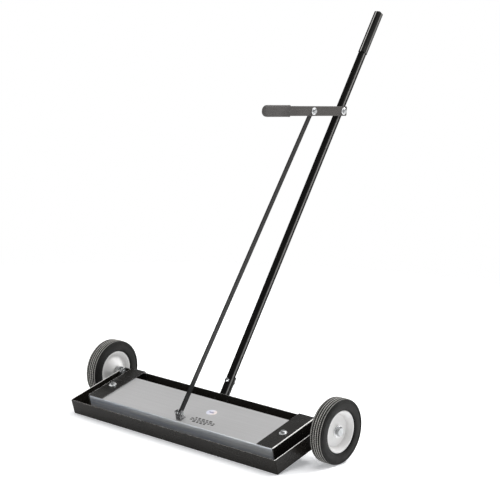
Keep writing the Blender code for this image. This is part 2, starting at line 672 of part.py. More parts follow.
def build_bracket(deck, handle):
    """A foot riveted to the tray's back wall, with an arm bent up along the back of the handle."""
    foot_height = BRACKET_FOOT_TOP_Z - BRACKET_FOOT_BOTTOM_Z
    foot_y = TRAY_BACK_Y + GAP + BRACKET_THICKNESS / 2
    foot = new_part("handle_bracket",
                    box_mesh("handle_bracket", (BRACKET_FOOT_WIDTH, BRACKET_THICKNESS, foot_height)),
                    BLACK_PAINT, deck, (0, foot_y, BRACKET_FOOT_TOP_Z - foot_height / 2))
    add_bevel(foot, 0.001, 1)
    arm_y = TUBE_WIDTH / 2 + GAP + BRACKET_THICKNESS / 2
    arm_start = (foot_y - HANDLE_BASE.y - arm_y * cos(HANDLE_LEAN)) / sin(HANDLE_LEAN)
    arm = new_tool("bracket_arm",
                   box_mesh("bracket_arm", (TUBE_WIDTH, BRACKET_THICKNESS, BRACKET_ARM_LENGTH)),
                   handle, (0, arm_y, arm_start + BRACKET_ARM_LENGTH / 2))
    add_boolean(foot, arm, "UNION")
    drill(foot, "bracket_bolt_hole", M8[0] + GAP, 0.05, handle, (0, 0.01, HANDLE_BOLT_UP), ALONG_Y)
    grip = TRAY_SHEET + GAP + BRACKET_THICKNESS
    for side, sign in SIDES:
        drill(foot, f"bracket_rivet_bore_{side}", RIVET_RADIUS + GAP, 0.012, deck,
              (sign * BRACKET_RIVET_X, foot_y, BRACKET_RIVET_Z), ALONG_Y)
        rivet(f"bracket_rivet_{side}", grip, BLACK_PAINT, deck,
              (sign * BRACKET_RIVET_X, TRAY_BACK_Y - TRAY_SHEET + grip / 2, BRACKET_RIVET_Z),
              ALONG_Y)


# ---------------------------------------------------------------- lever

def build_lever(lever_axis, handle):
    """The bar lies in the lever's own frame: its length runs along local +X of the outline."""
    half = LEVER_HEIGHT / 2
    tip = LEVER_LENGTH - LEVER_GRIP_END
    points = rounded_rectangle(-LEVER_TAIL, tip, -half, half, LEVER_CORNER, LEVER_TIP_CORNER)
    holes = [circle(M8[0] + GAP, 16), circle(M8[0] + GAP, 16, (LEVER_BOLT_SPAN, 0))]
    turn = in_yz_plane(pi - LEVER_RISE)
    lever_x = lever_inner_x() + LEVER_THICKNESS / 2
    new_part("lift_lever", outline_curve("lift_lever", points, holes, LEVER_THICKNESS),
             DARK_PAINT, lever_axis, (lever_x, 0, 0), turn)

    grip_half = LEVER_GRIP_HEIGHT / 2
    grip_start = LEVER_LENGTH - LEVER_GRIP_LENGTH
    grip_points = rounded_rectangle(grip_start, LEVER_LENGTH, -grip_half, grip_half,
                                    LEVER_GRIP_MOUTH_CORNER, LEVER_GRIP_TIP_CORNER)
    grip = new_part("lever_grip",
                    outline_mesh("lever_grip", grip_points, [], LEVER_GRIP_THICKNESS), VINYL_GREY,
                    lever_axis, (lever_x, 0, 0), turn)
    add_bevel(grip, LEVER_GRIP_EDGE, 2)
    slot_points = rounded_rectangle(grip_start - LEVER_CORNER, tip + GAP, -half - GAP, half + GAP,
                                    LEVER_CORNER, LEVER_TIP_CORNER + GAP)
    slot = new_tool("lever_grip_slot",
                    outline_mesh("lever_grip_slot", slot_points, [], LEVER_THICKNESS + 2 * GAP),
                    lever_axis, (lever_x, 0, 0), turn)
    add_boolean(grip, slot, "DIFFERENCE")

    washer("lever_spacer_washer", M8, WASHER_THICKNESS, ZINC, handle,
           (TUBE_WIDTH / 2 + GAP + WASHER_THICKNESS / 2, 0, PIVOT_UP), ALONG_X)
    washer_x = lever_inner_x() + LEVER_THICKNESS + GAP + WASHER_THICKNESS / 2
    head_x = washer_x + WASHER_THICKNESS / 2 + GAP
    washer("lever_pivot_washer", M8, WASHER_THICKNESS, ZINC, handle, (washer_x, 0, PIVOT_UP),
           ALONG_X)
    nut_x = -TUBE_WIDTH / 2 - GAP - M8[3] / 2
    hex_bolt("lever_pivot_bolt", M8, head_x - nut_x + M8[3] / 2 + BOLT_TIP, ZINC, handle,
             (head_x, 0, PIVOT_UP), ALONG_X)
    nut("lever_pivot_nut", M8, ZINC, handle, (nut_x, 0, PIVOT_UP), ALONG_X)

    bolt_y = -LEVER_BOLT_SPAN * cos(LEVER_RISE)
    bolt_z = LEVER_BOLT_SPAN * sin(LEVER_RISE)
    washer("link_bolt_washer", M8, WASHER_THICKNESS, ZINC, lever_axis, (washer_x, bolt_y, bolt_z),
           ALONG_X)
    link_nut_x = link_centre_x() - LINK_THICKNESS / 2 - GAP - M8[3] / 2
    hex_bolt("link_bolt", M8, head_x - link_nut_x + M8[3] / 2 + BOLT_TIP, ZINC, lever_axis,
             (head_x, bolt_y, bolt_z), ALONG_X)
    nut("link_bolt_nut", M8, ZINC, lever_axis, (link_nut_x, bolt_y, bolt_z), ALONG_X)


# ---------------------------------------------------------------- wheels

def tyre_profile():
    """Flat tread, round shoulders, sidewalls down to the bead and a ridge in the hub's groove."""
    half = TYRE_WIDTH / 2
    centre = WHEEL_RADIUS - TYRE_SHOULDER
    upper = arc(centre, half - TYRE_SHOULDER, TYRE_SHOULDER, pi / 2, 0, 3)
    lower = arc(centre, TYRE_SHOULDER - half, TYRE_SHOULDER, 0, -pi / 2, 3)
    bead_half = half - TYRE_BEAD_INSET
    ridge = [(TYRE_BEAD_RADIUS, -TYRE_RIDGE_HALF_BASE), (TYRE_RIDGE_RADIUS, -TYRE_RIDGE_HALF_TIP),
             (TYRE_RIDGE_RADIUS, TYRE_RIDGE_HALF_TIP), (TYRE_BEAD_RADIUS, TYRE_RIDGE_HALF_BASE)]
    return ([(TYRE_BEAD_RADIUS, bead_half)] + upper + lower
            + [(TYRE_BEAD_RADIUS, -bead_half)] + ridge)


def hub_profile():
    """Deep dished hub; heights run outwards from the wheel's middle plane."""
    bore = BUSHING_RADIUS + GAP
    lip_radius = HUB_RADIUS - HUB_LIP_WIDTH
    rim_height = HUB_LIP_HEIGHT - 0.0005
    outer_side = [(bore, 0.0050), (0.0175, 0.0050), (0.0300, 0.0015), (0.0450, 0.0002),
                  (lip_radius, HUB_LIP_HEIGHT), (HUB_RADIUS, rim_height)]
    groove = [(HUB_RADIUS, HUB_GROOVE_HALF_TOP), (HUB_GROOVE_RADIUS, HUB_GROOVE_HALF_FLOOR),
              (HUB_GROOVE_RADIUS, -HUB_GROOVE_HALF_FLOOR), (HUB_RADIUS, -HUB_GROOVE_HALF_TOP)]
    inner_side = [(HUB_RADIUS, -rim_height), (lip_radius, -HUB_LIP_HEIGHT), (0.0485, -0.0050),
                  (0.0400, -0.0060), (0.0175, -0.0205), (bore, -0.0205)]
    return outer_side + groove + inner_side


def build_wheel(side, outward, axle_axis):
    """The wheel is turned by half a facet, so that it stands on a flat of its tread."""
    spin = new_empty(f"wheel_{side}_spin", axle_axis, (0, 0, 0), (pi / WHEEL_STEPS, 0, 0))
    turned_part(f"wheel_{side}_tyre", tyre_profile(), True, RUBBER, spin, (0, 0, 0), outward,
                WHEEL_STEPS)
    turned_part(f"wheel_{side}_hub", hub_profile(), True, HUB_GREY, spin, (0, 0, 0), outward,
                WHEEL_STEPS)
    bushing = outline_curve(f"wheel_{side}_bushing", circle(BUSHING_RADIUS),
                            [circle(AXLE_BOLT[0] + GAP)], BUSHING_OUTER_END - BUSHING_INNER_END)
    middle = Vector((0, 0, (BUSHING_OUTER_END + BUSHING_INNER_END) / 2))
    middle.rotate(Euler(outward))
    new_part(f"wheel_{side}_bushing", bushing, STEEL, spin, middle, outward)


def build_axle(side, sign, outward, deck):
    """Bolt from outside the wheel through the tray's end wall, with a nut on each side of it."""
    outer_end = WHEEL_X + BUSHING_OUTER_END
    inner_end = WHEEL_X + BUSHING_INNER_END
    wall_outer_x = TRAY_LENGTH / 2
    wall_inner_x = wall_outer_x - TRAY_SHEET
    nut_height = AXLE_BOLT[3]
    washer(f"axle_outer_washer_{side}", AXLE_BOLT, AXLE_WASHER_THICKNESS, ZINC, deck,
           (sign * (outer_end + GAP + AXLE_WASHER_THICKNESS / 2), 0, 0), ALONG_X)
    lock_nut_x = inner_end - GAP - nut_height / 2
    nut(f"axle_lock_nut_{side}", AXLE_BOLT, ZINC, deck, (sign * lock_nut_x, 0, 0), ALONG_X)
    spacer_outer_x = inner_end - 2 * GAP - nut_height
    washer(f"axle_spacer_{side}", AXLE_BOLT, spacer_outer_x - wall_outer_x - GAP, ZINC, deck,
           (sign * (spacer_outer_x + wall_outer_x + GAP) / 2, 0, 0), ALONG_X)
    inner_nut_x = wall_inner_x - GAP - nut_height / 2
    nut(f"axle_inner_nut_{side}", AXLE_BOLT, ZINC, deck, (sign * inner_nut_x, 0, 0), ALONG_X)
    head_x = outer_end + 2 * GAP + AXLE_WASHER_THICKNESS
    tip_x = inner_nut_x - nut_height / 2 - BOLT_TIP
    hex_bolt(f"axle_bolt_{side}", AXLE_BOLT, head_x - tip_x, ZINC, deck, (sign * head_x, 0, 0),
             outward)


# ---------------------------------------------------------------- assembly

def centre_on_floor(root):
    """Moves the root so that the bounding box stands on z = 0 with its middle over the origin."""
    bpy.context.view_layer.update()
    depsgraph = bpy.context.evaluated_depsgraph_get()
    corners = []
    for part in PARTS.objects:
        if part.type != "EMPTY":
            evaluated = part.evaluated_get(depsgraph)
            mesh = evaluated.to_mesh()
            corners += [evaluated.matrix_world @ vertex.co for vertex in mesh.vertices]
            evaluated.to_mesh_clear()
    low = Vector([min(corner[axis] for corner in corners) for axis in range(3)])
    high = Vector([max(corner[axis] for corner in corners) for axis in range(3)])
    root.location -= Vector(((low.x + high.x) / 2, (low.y + high.y) / 2, low.z))


def build_sweeper():
    root = new_empty("sweeper_frame")
    deck = new_empty("deck_frame", root, (0, 0, AXLE_HEIGHT), (deck_tilt(), 0, 0))
    bar = new_empty("bar_hinge_axis", deck, HINGE)
    handle = new_empty("handle_frame", deck, HANDLE_BASE, (-HANDLE_LEAN, 0, 0))
    pivot = HANDLE_BASE + Vector((0, sin(HANDLE_LEAN), cos(HANDLE_LEAN))) * PIVOT_UP
    lever_axis = new_empty("lever_pivot_axis", deck, pivot)
    arm = Vector((0, -cos(LEVER_RISE), sin(LEVER_RISE))) * LEVER_BOLT_SPAN
    link_axis = new_empty("link_pivot_axis", lever_axis, arm)

    build_tray(deck)
    build_bar(bar)
    build_clevis(bar)
    build_bracket(deck, handle)
    build_handle(deck, handle)
    build_lever(lever_axis, handle)
    build_link(link_axis, pivot + arm)
    for side, sign in SIDES:
        build_hinge(side, sign, deck)
        build_strap(side, sign, bar)
        outward = ALONG_X if sign > 0 else AGAINST_X
        build_axle(side, sign, outward, deck)
        axle_axis = new_empty(f"wheel_{side}_axis", root, (sign * WHEEL_X, 0, AXLE_HEIGHT))
        build_wheel(side, outward, axle_axis)
    centre_on_floor(root)


clear_scene()
PARTS = new_collection("magnetic_nail_sweeper")
CUTTERS = new_collection("cutters")
BLACK_PAINT = new_material("satin_black_paint", (0.030, 0.028, 0.026), 0.38)
GLOSS_BLACK = new_material("gloss_black_paint", (0.012, 0.012, 0.012), 0.22)
DARK_PAINT = new_material("dark_grey_paint", (0.075, 0.070, 0.066), 0.5)
VINYL = new_material("black_vinyl", (0.014, 0.014, 0.014), 0.4)
VINYL_GREY = new_material("dark_grey_vinyl", (0.080, 0.076, 0.072), 0.6)
ALUMINIUM = new_material("brushed_aluminium", (0.62, 0.62, 0.62), 0.35, 1.0)
STAINLESS = new_material("stainless_steel", (0.55, 0.55, 0.56), 0.4, 1.0)
STEEL = new_material("plain_steel", (0.45, 0.45, 0.46), 0.45, 1.0)
ZINC = new_material("zinc_plating", (0.72, 0.72, 0.74), 0.28, 1.0)
FERRITE = new_material("ferrite_magnet", (0.045, 0.045, 0.048), 0.7)
RUBBER = new_material("tyre_rubber", (0.035, 0.034, 0.033), 0.65)
HUB_GREY = new_material("hub_paint", (0.68, 0.67, 0.65), 0.35)
build_sweeper()
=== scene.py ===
"""Looks of the magnetic nail sweeper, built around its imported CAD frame.

Metres, +Z up: X runs along the tray, -Y is the nose and +Y the person pushing.
Sheet pieces become fine copies of their CAD solids with softened edges. Turned pieces,
fasteners, grips and tyres are made again with smooth curves, measured from the CAD solids.
"""
import json
from math import cos, pi, radians, sin, tan

import bmesh
import bpy
from mathutils import Matrix, Vector


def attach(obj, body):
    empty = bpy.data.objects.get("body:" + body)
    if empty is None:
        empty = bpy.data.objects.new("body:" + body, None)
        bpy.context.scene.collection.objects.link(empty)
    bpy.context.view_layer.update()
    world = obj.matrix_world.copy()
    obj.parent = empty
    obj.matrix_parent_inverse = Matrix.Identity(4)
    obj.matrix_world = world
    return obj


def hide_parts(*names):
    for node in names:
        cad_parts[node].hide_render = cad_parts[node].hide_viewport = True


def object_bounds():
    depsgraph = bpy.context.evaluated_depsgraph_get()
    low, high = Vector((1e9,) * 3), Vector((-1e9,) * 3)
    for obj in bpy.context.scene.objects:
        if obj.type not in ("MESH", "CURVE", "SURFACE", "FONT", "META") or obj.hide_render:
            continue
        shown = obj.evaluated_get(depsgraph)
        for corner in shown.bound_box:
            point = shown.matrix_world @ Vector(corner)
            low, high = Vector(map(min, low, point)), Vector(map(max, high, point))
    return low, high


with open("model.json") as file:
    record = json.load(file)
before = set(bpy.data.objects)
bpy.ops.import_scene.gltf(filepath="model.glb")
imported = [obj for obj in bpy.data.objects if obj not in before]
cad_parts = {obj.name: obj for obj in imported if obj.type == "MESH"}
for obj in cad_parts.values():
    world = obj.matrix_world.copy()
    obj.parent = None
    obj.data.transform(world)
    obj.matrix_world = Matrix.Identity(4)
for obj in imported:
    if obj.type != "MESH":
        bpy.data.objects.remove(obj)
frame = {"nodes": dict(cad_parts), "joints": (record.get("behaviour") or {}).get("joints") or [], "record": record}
CAD_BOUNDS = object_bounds()
NODES = frame["nodes"]
BODY_OF = {node: body for body, members in frame["record"]["behaviour"]["bodies"].items()
           for node in members}
SLOT_OF = {node: obj.data.materials[0].name for node, obj in NODES.items()}

X_AXIS = Vector((1, 0, 0))
Y_AXIS = Vector((0, 1, 0))
Z_AXIS = Vector((0, 0, 1))
SIDES = ("left", "right")

# Camera
CAMERA_AZIMUTH = radians(40.26)
CAMERA_ELEVATION = radians(10.35)
CAMERA_ROLL = radians(2.22)
CAMERA_DISTANCE = 4.581
CAMERA_TARGET = Vector((-0.001, -0.125, 0.5098))
CAMERA_LENS_MM = 114.59
CAMERA_SENSOR_MM = 36.0

# Round shapes and fasteners
ROUND_STEPS = 48
WHEEL_STEPS = 96
SHARP_ANGLE = radians(50)
THREAD_PITCH = 0.00125
THREAD_RINGS_PER_PITCH = 5

# Tyres. Heights are from the middle of the tread, along the axle.
TYRE_STEPS = 400
TREAD_STEPS = 72
TREAD_TEETH = 100
TREAD_GROOVES = (-0.0112, -0.0038, 0.0038, 0.0112)
GROOVE_HALF_WIDTH = 0.0025
GROOVE_DEPTH = 0.0024
TREAD_CROWN = 0.0009
TYRE_SHOULDER = 0.0042
SHOULDER_INSET = 0.0006
SIDEWALL_RINGS = (0.0062, 0.0084)

# Hubs. Heights are from the wheel's middle, outward.
HUB_LIP = 0.0170
HUB_FACE = 0.0050
HUB_BOSS_RADIUS = 0.0175
HUB_BOSS_END = -0.0205
TYRE_SEAT_HALF_WIDTH = 0.0120
TYRE_SEAT_DEPTH = 0.0045

# The visual lever ends this far inside its grip, whose end is rounder than the CAD one.
LEVER_TIP_COVER = 0.0128
SOFT_EDGES = {
    "debris_tray": 0.00045, "magnet_cover": 0.0004, "magnet_face_plate": 0.0003,
    "magnet_back_plate": 0.0004, "handle_bracket": 0.0006, "handle_tube": 0.0003,
    "lift_lever": 0.0005, "lift_link": 0.0005, "lift_clevis": 0.0004,
    "end_strap_left": 0.0005, "end_strap_right": 0.0005,
    "hinge_leaf_left": 0.0002, "hinge_leaf_right": 0.0002,
    "hinge_pin_left": 0.0004, "hinge_pin_right": 0.0004,
    "magnet_block_1": 0.0006, "magnet_block_2": 0.0006,
    "magnet_block_3": 0.0006, "magnet_block_4": 0.0006,
}

# Label. Places are across the bar's middle and back from its front edge.
FILM = 0.0001
LABEL_LIFT = 0.00005
LABEL_ROWS = ((-0.030, 0.034), (-0.040, 0.040), (-0.040, 0.040), (-0.026, 0.026))
ROWS_PLACE = (0.0695, 0.0400)
ROW_PITCH = 0.0070
DASH_HALF_HEIGHT = 0.0022
DASH_SHORTEST = 0.0070
DASH_VARIATION = 0.0050
DASH_GAP = 0.0036
PATCH_PLACE = (0.062, 0.082)
PATCH_HALF_SIZES = (0.0175, 0.0135)

# Studio
FLOOR_RADII = (0, 0.6, 1.2, 1.8, 2.6)
FLOOR_FADE = (1.3, 2.4)
FLOOR_FILL = 0.31
FLOOR_GLOW = 1.2
ROOM_GLOW_FRONT = 0.12
ROOM_GLOW_BACK = 0.40


# ---------------------------------------------------------------- measuring the frame

def broad_face_normal(node):
    """The upward direction, square to X, that the largest flat faces of a CAD node look in."""
    areas = {}
    for face in NODES[node].data.polygons:
        if abs(face.normal.x) < 0.01:
            key = tuple(round(part, 3) for part in face.normal)
            areas[key] = areas.get(key, 0) + face.area
    normal = Vector(max(areas, key=areas.get)).normalized()
    return normal if normal.z > 0 else -normal


def extent(node, direction):
    """Lowest and highest place of a CAD node along a direction."""
    places = [vertex.co.dot(direction) for vertex in NODES[node].data.vertices]
    return min(places), max(places)


DECK_UP = broad_face_normal("magnet_face_plate")
DECK_BACK = DECK_UP.cross(X_AXIS)


def axes_matrix(across, along, up, origin):
    """A frame whose local X, Y and Z are three unit directions."""
    matrix = Matrix((across, along, up)).transposed().to_4x4()
    matrix.translation = origin
    return matrix


class OrientedBox:
    """A CAD node's box along three directions of its own: its middle and its half sizes."""

    def __init__(self, node, across, along, up):
        spans = [extent(node, direction) for direction in (across, along, up)]
        middle = sum((direction * (low + high) / 2 for direction, (low, high)
                      in zip((across, along, up), spans)), Vector())
        self.half = [(high - low) / 2 for low, high in spans]
        self.place = axes_matrix(across, along, up, middle)


class TurnedShape:
    """A round or hexagonal CAD piece, measured about its own line. Local +Z is its head's side."""

    def __init__(self, node, line):
        points = [vertex.co for vertex in NODES[node].data.vertices]
        side = line.orthogonal().normalized()
        directions = (line, side, line.cross(side))
        middle = sum((direction * sum(extent(node, direction)) / 2 for direction in directions),
                     Vector())
        offsets = [point - middle for point in points]
        stations = [(offset.dot(line), (offset - line * offset.dot(line)).length)
                    for offset in offsets]
        self.radius = max(radius for _, radius in stations)
        self.bore = min(radius for _, radius in stations)
        head = [height for height, radius in stations if radius > self.radius * 0.85]
        if sum(head) < 0:
            line = -line
            stations = [(-height, radius) for height, radius in stations]
            head = [-height for height in head]
        self.head_low = min(head)
        self.high = max(height for height, _ in stations)
        self.low = min(height for height, _ in stations)
        self.tip_radius = max(radius for height, radius in stations
                              if height < self.low + 0.0001)
        widest = max(offsets, key=lambda offset: (offset - line * offset.dot(line)).length)
        corner = (widest - line * widest.dot(line)).normalized()
        self.place = axes_matrix(corner, line.cross(corner), line, middle)


def handle_line():
    """The square handle tube's own direction, found from its front face."""
    line = X_AXIS.cross(broad_face_normal("handle_tube"))
    return line if line.z > 0 else -line


def lever_line():
    """From the lever's pivot towards its grip."""
    pivot = next(joint for joint in frame["joints"] if joint["name"] == "lever_pivot")
    link = next(joint for joint in frame["joints"] if joint["name"] == "link_pivot")
    return (Vector(link["pos_m"]) - Vector(pivot["pos_m"])).normalized()


HANDLE_UP = handle_line()
HANDLE_BACK = HANDLE_UP.cross(X_AXIS)
LEVER_OUT = lever_line()
TYRE_RADIUS = sum(extent("wheel_right_tyre", Z_AXIS)) / 2
HUB_RIM = TurnedShape("wheel_right_hub", X_AXIS).radius


# ---------------------------------------------------------------- mesh helpers

def finished_mesh(name, bm):
    bmesh.ops.recalc_face_normals(bm, faces=bm.faces)
    mesh = bpy.data.meshes.new(name)
    bm.to_mesh(mesh)
    bm.free()
    mesh.shade_smooth()
    mesh.set_sharp_from_angle(angle=SHARP_ANGLE)
    return mesh


def skin_rings(bm, first, second):
    """Faces between two rings of vertices, either of which may be a single vertex."""
    count = max(len(first), len(second))
    for index in range(count):
        after = (index + 1) % count
        corners = [first[index % len(first)], first[after % len(first)],
                   second[after % len(second)], second[index % len(second)]]
        bm.faces.new(list(dict.fromkeys(corners)))


def loft(name, rings, closed=False):
    """A surface through rings of points. A closed loft joins its last ring to its first."""
    bm = bmesh.new()
    rows = [[bm.verts.new(point) for point in ring] for ring in rings]
    for first, second in zip(rows, rows[1:]):
        skin_rings(bm, first, second)
    if closed:
        skin_rings(bm, rows[-1], rows[0])
    return finished_mesh(name, bm)


def round_ring(radius, height, steps=ROUND_STEPS):
    if radius == 0:
        return [(0, 0, height)]
    return [(radius * cos(2 * pi * step / steps), radius * sin(2 * pi * step / steps), height)
            for step in range(steps)]


def turned_mesh(name, profile, closed, steps=ROUND_STEPS):
    """Turns (radius, height) points about local Z."""
    return loft(name, [round_ring(radius, height, steps) for radius, height in profile], closed)


def eased(points, reach, closed, steps=4):
    """Replaces each corner of an outline with a short curve that starts reach before it."""
    result = []
    count = len(points)
    for index, point in enumerate(points):
        if not closed and index in (0, count - 1):
            result.append(tuple(point))
            continue
        corner = Vector(point)
        before = Vector(points[index - 1]) - corner
        after = Vector(points[(index + 1) % count]) - corner
        cut = min(reach, 0.45 * before.length, 0.45 * after.length)
        start = corner + before.normalized() * cut
        end = corner + after.normalized() * cut
        for step in range(steps + 1):
            share = step / steps
            spot = start * (1 - share) ** 2 + corner * 2 * share * (1 - share) + end * share ** 2
            result.append(tuple(spot))
    return result


def squared_ring(half_x, half_y, corner, height, steps=6):
    """A rounded rectangle around local Z."""
    ring = []
    for quarter, (sign_x, sign_y) in enumerate(((1, 1), (-1, 1), (-1, -1), (1, -1))):
        for step in range(steps + 1):
            angle = (quarter + step / steps) * pi / 2
            ring.append((sign_x * (half_x - corner) + corner * cos(angle),
                         sign_y * (half_y - corner) + corner * sin(angle), height))
    return ring


# ---------------------------------------------------------------- material helpers

class Look:
    """A procedural material being made: its Principled shader, and short ways to add nodes.

    Numbers that hold all over the surface are set on the shader's own sockets."""

    def __init__(self, name, **constants):
        self.material = bpy.data.materials.new(name)
        self.material.use_nodes = True
        self.tree = self.material.node_tree
        self.shader = self.tree.nodes["Principled BSDF"]
        for socket, value in constants.items():
            self.shader.inputs[socket.replace("_", " ")].default_value = value
        self.spot = self.add("ShaderNodeTexCoord").outputs["Object"]

    def add(self, kind, values=(), **settings):
        """Adds a node. The values are numbers, colours or other nodes' outputs, by input name."""
        node = self.tree.nodes.new(kind)
        for setting, value in settings.items():
            setattr(node, setting, value)
        for socket, value in dict(values).items():
            self.feed(node.inputs[socket], value)
        return node

    def feed(self, socket, value):
        if isinstance(value, bpy.types.NodeSocket):
            self.tree.links.new(value, socket)
        elif socket.type == "RGBA" and len(value) == 3:
            socket.default_value = (*value, 1.0)
        else:
            socket.default_value = value

    def stretched(self, scale):
        return self.add("ShaderNodeMapping", {"Vector": self.spot, "Scale": scale}).outputs[0]

    def noise(self, scale, detail=2.0, roughness=0.5, stretch=None):
        place = self.stretched(stretch) if stretch else self.spot
        values = {"Vector": place, "Scale": scale, "Detail": detail, "Roughness": roughness}
        return self.add("ShaderNodeTexNoise", values).outputs[0]

    def cells(self, scale, feature="F1"):
        values = {"Vector": self.spot, "Scale": scale}
        return self.add("ShaderNodeTexVoronoi", values, feature=feature).outputs["Distance"]

    def span(self, value, low, high, to_low=0.0, to_high=1.0):
        """Carries a range of values onto another, held at both ends."""
        values = {"Value": value, "From Min": low, "From Max": high,
                  "To Min": to_low, "To Max": to_high}
        return self.add("ShaderNodeMapRange", values).outputs[0]

    def maths(self, operation, first, second=0.0):
        return self.add("ShaderNodeMath", {0: first, 1: second}, operation=operation).outputs[0]

    def times(self, first, second):
        return self.maths("MULTIPLY", first, second)

    def magnitude(self, value):
        return self.maths("ABSOLUTE", value)

    def mixed(self, share, first, second):
        node = self.add("ShaderNodeMix", data_type="RGBA")
        self.feed(node.inputs[0], share)
        self.feed(node.inputs[6], first)
        self.feed(node.inputs[7], second)
        return node.outputs[2]

    def dot(self, first, second):
        return self.add("ShaderNodeVectorMath", {0: first, 1: second},
                        operation="DOT_PRODUCT").outputs["Value"]

    def edges(self, radius):
        """1 on convex and concave edges within the radius, 0 on open faces."""
        rounded = self.add("ShaderNodeBevel", {"Radius": radius}, samples=4).outputs[0]
        agreement = self.dot(rounded, self.add("ShaderNodeNewGeometry").outputs["Normal"])
        return self.span(self.maths("SUBTRACT", 1.0, agreement), 0.02, 0.2)

    def facing(self, direction):
        """How squarely the surface looks along a direction, 1 at most."""
        return self.dot(self.add("ShaderNodeNewGeometry").outputs["Normal"], tuple(direction))

    def place_along(self, direction):
        """Place of a spot along a direction, in metres."""
        return self.dot(self.spot, tuple(direction))

    def bumped(self, height, distance, strength=1.0, under=None):
        values = {"Height": height, "Distance": distance, "Strength": strength}
        if under is not None:
            values["Normal"] = under
        return self.add("ShaderNodeBump", values).outputs[0]

    def radius_from_axle(self):
        """Distance from the piece's own Z line."""
        parts = self.add("ShaderNodeSeparateXYZ", {0: self.spot}).outputs
        squares = self.maths("ADD", self.maths("POWER", parts[0], 2.0),
                             self.maths("POWER", parts[1], 2.0))
        return self.maths("SQRT", squares)

    def done(self, colour, roughness, normal):
        self.feed(self.shader.inputs["Base Color"], colour)
        self.feed(self.shader.inputs["Roughness"], roughness)
        self.feed(self.shader.inputs["Normal"], normal)
        return self.material


# ---------------------------------------------------------------- materials

def paint(name, dark, light, worn, wear_and_highlight, gloss, peel, cover=None,
          painted_light_colour=(0.97, 0.96, 0.93), **constants):
    """Sprayed or powder-coated steel: orange peel, dust, scuffs and lighter edges, partly worn
    through and partly painted highlight.

    The wear amount sets how much of the worn colour, itself partly a painted highlight, an edge
    takes. The gloss pair holds the lowest and highest roughness. Cover is a function that gives
    the share of a look where light or shade is painted in, in a colour of its own: a bare-metal
    tone, as a painted highlight, unless told otherwise."""
    look = Look(name, **constants)
    clouds = look.noise(7, 4, 0.6)
    colour = look.mixed(look.span(clouds, 0.35, 0.68), dark, light)
    specks = look.span(look.noise(1700, 2), 0.69, 0.76)
    colour = look.mixed(look.times(specks, wear_and_highlight * 0.12), colour, worn)
    patchy = look.span(look.noise(55, 3), 0.3, 0.6, 0.4, 1.0)
    # Lighter edges: partly worn through, partly a painted highlight.
    edge_rub_and_highlight = look.times(look.edges(0.0012), patchy)
    colour = look.mixed(look.times(edge_rub_and_highlight, wear_and_highlight), colour, worn)
    # The cover share paints light or shade in with a second colour: light tones as painted highlight, dark ones as
    # painted shade.
    if cover is not None:
        patches = look.span(look.noise(90, 4, 0.6), 0.25, 0.5, 0.55, 1.0)
        colour = look.mixed(look.times(cover(look), patches), colour, painted_light_colour)
    scuffs = look.span(look.noise(60, 6, 0.7, (0.25, 2.2, 2.2)), 0.55, 0.72)
    rough = look.span(look.noise(24, 4), 0.3, 0.7, gloss[0], gloss[1])
    rough = look.maths("ADD", rough, look.times(scuffs, 0.1))
    normal = look.bumped(look.noise(520, 2), 0.00005, peel)
    normal = look.bumped(look.noise(3600, 2), 0.00001, peel * 0.6, normal)
    return look.done(colour, rough, normal)


def satin_black_paint():
    # The pale worn colour is also a painted highlight along the edges.
    return paint("satin_black_paint", (0.0095, 0.0088, 0.0078), (0.0155, 0.0147, 0.0132),
                 (0.50, 0.49, 0.48), 0.8, (0.22, 0.32), 0.25, Specular_IOR_Level=0.2)


def tray_paint():
    """The same black on the tray, with a painted highlight along the rims of its end walls."""
    return paint("tray_black_paint", (0.0086, 0.0075, 0.0062), (0.0135, 0.0120, 0.0102),
                 (0.60, 0.59, 0.57), 0.9, (0.20, 0.30), 0.2, painted_rim_highlight, Specular_IOR_Level=0.15)


def painted_rim_highlight(look):
    """1 on the top edge of the tray's end walls, where the highlight is painted."""
    top = extent("debris_tray", DECK_UP)[1]
    end = extent("debris_tray", X_AXIS)[1]
    high = look.span(look.place_along(DECK_UP), top - 0.0011, top - 0.0005)
    outside = look.span(look.magnitude(look.place_along(X_AXIS)), end - 0.0035, end - 0.0025)
    return look.times(high, outside)


def strap_paint():
    """The same black on the straps, with a painted highlight where the sheet is bent."""
    return paint("strap_black_paint", (0.0080, 0.0074, 0.0066), (0.0130, 0.0123, 0.0110),
                 (0.50, 0.49, 0.48), 0.8, (0.20, 0.30), 0.2, painted_bend_highlight, Specular_IOR_Level=0.26)


def painted_bend_highlight(look):
    """1 along the bend between a strap's top and its side, where the highlight is painted."""
    sideways = look.magnitude(look.facing(X_AXIS))
    slanted = look.times(sideways, look.facing(DECK_UP))
    return look.span(slanted, 0.16, 0.34)


def gloss_black_paint():
    """Handle enamel, with a painted highlight in a dull pale band along the tube's two sides."""
    return paint("gloss_black_enamel", (0.0045, 0.0043, 0.0041), (0.0078, 0.0074, 0.0071),
                 (0.09, 0.09, 0.09), 0.5, (0.14, 0.24), 0.15, painted_tube_highlight, (0.150, 0.147, 0.141),
                 Specular_IOR_Level=0.07)


def side_band(look, backward, middle):
    """1 along a soft band on the handle's two sides, at a place between front and back, where a highlight is
    painted.
    """
    away = look.magnitude(look.maths("SUBTRACT", look.place_along(backward), middle))
    sideways = look.span(look.magnitude(look.facing(X_AXIS)), 0.6, 0.9)
    return look.times(sideways, look.span(away, 0.0016, 0.0036, 1.0, 0.0))


def painted_tube_highlight(look):
    """The tube's painted highlight band, a little in front of the middle of its sides."""
    front, back = extent("handle_tube", HANDLE_BACK)
    return side_band(look, HANDLE_BACK, front + 0.40 * (back - front))


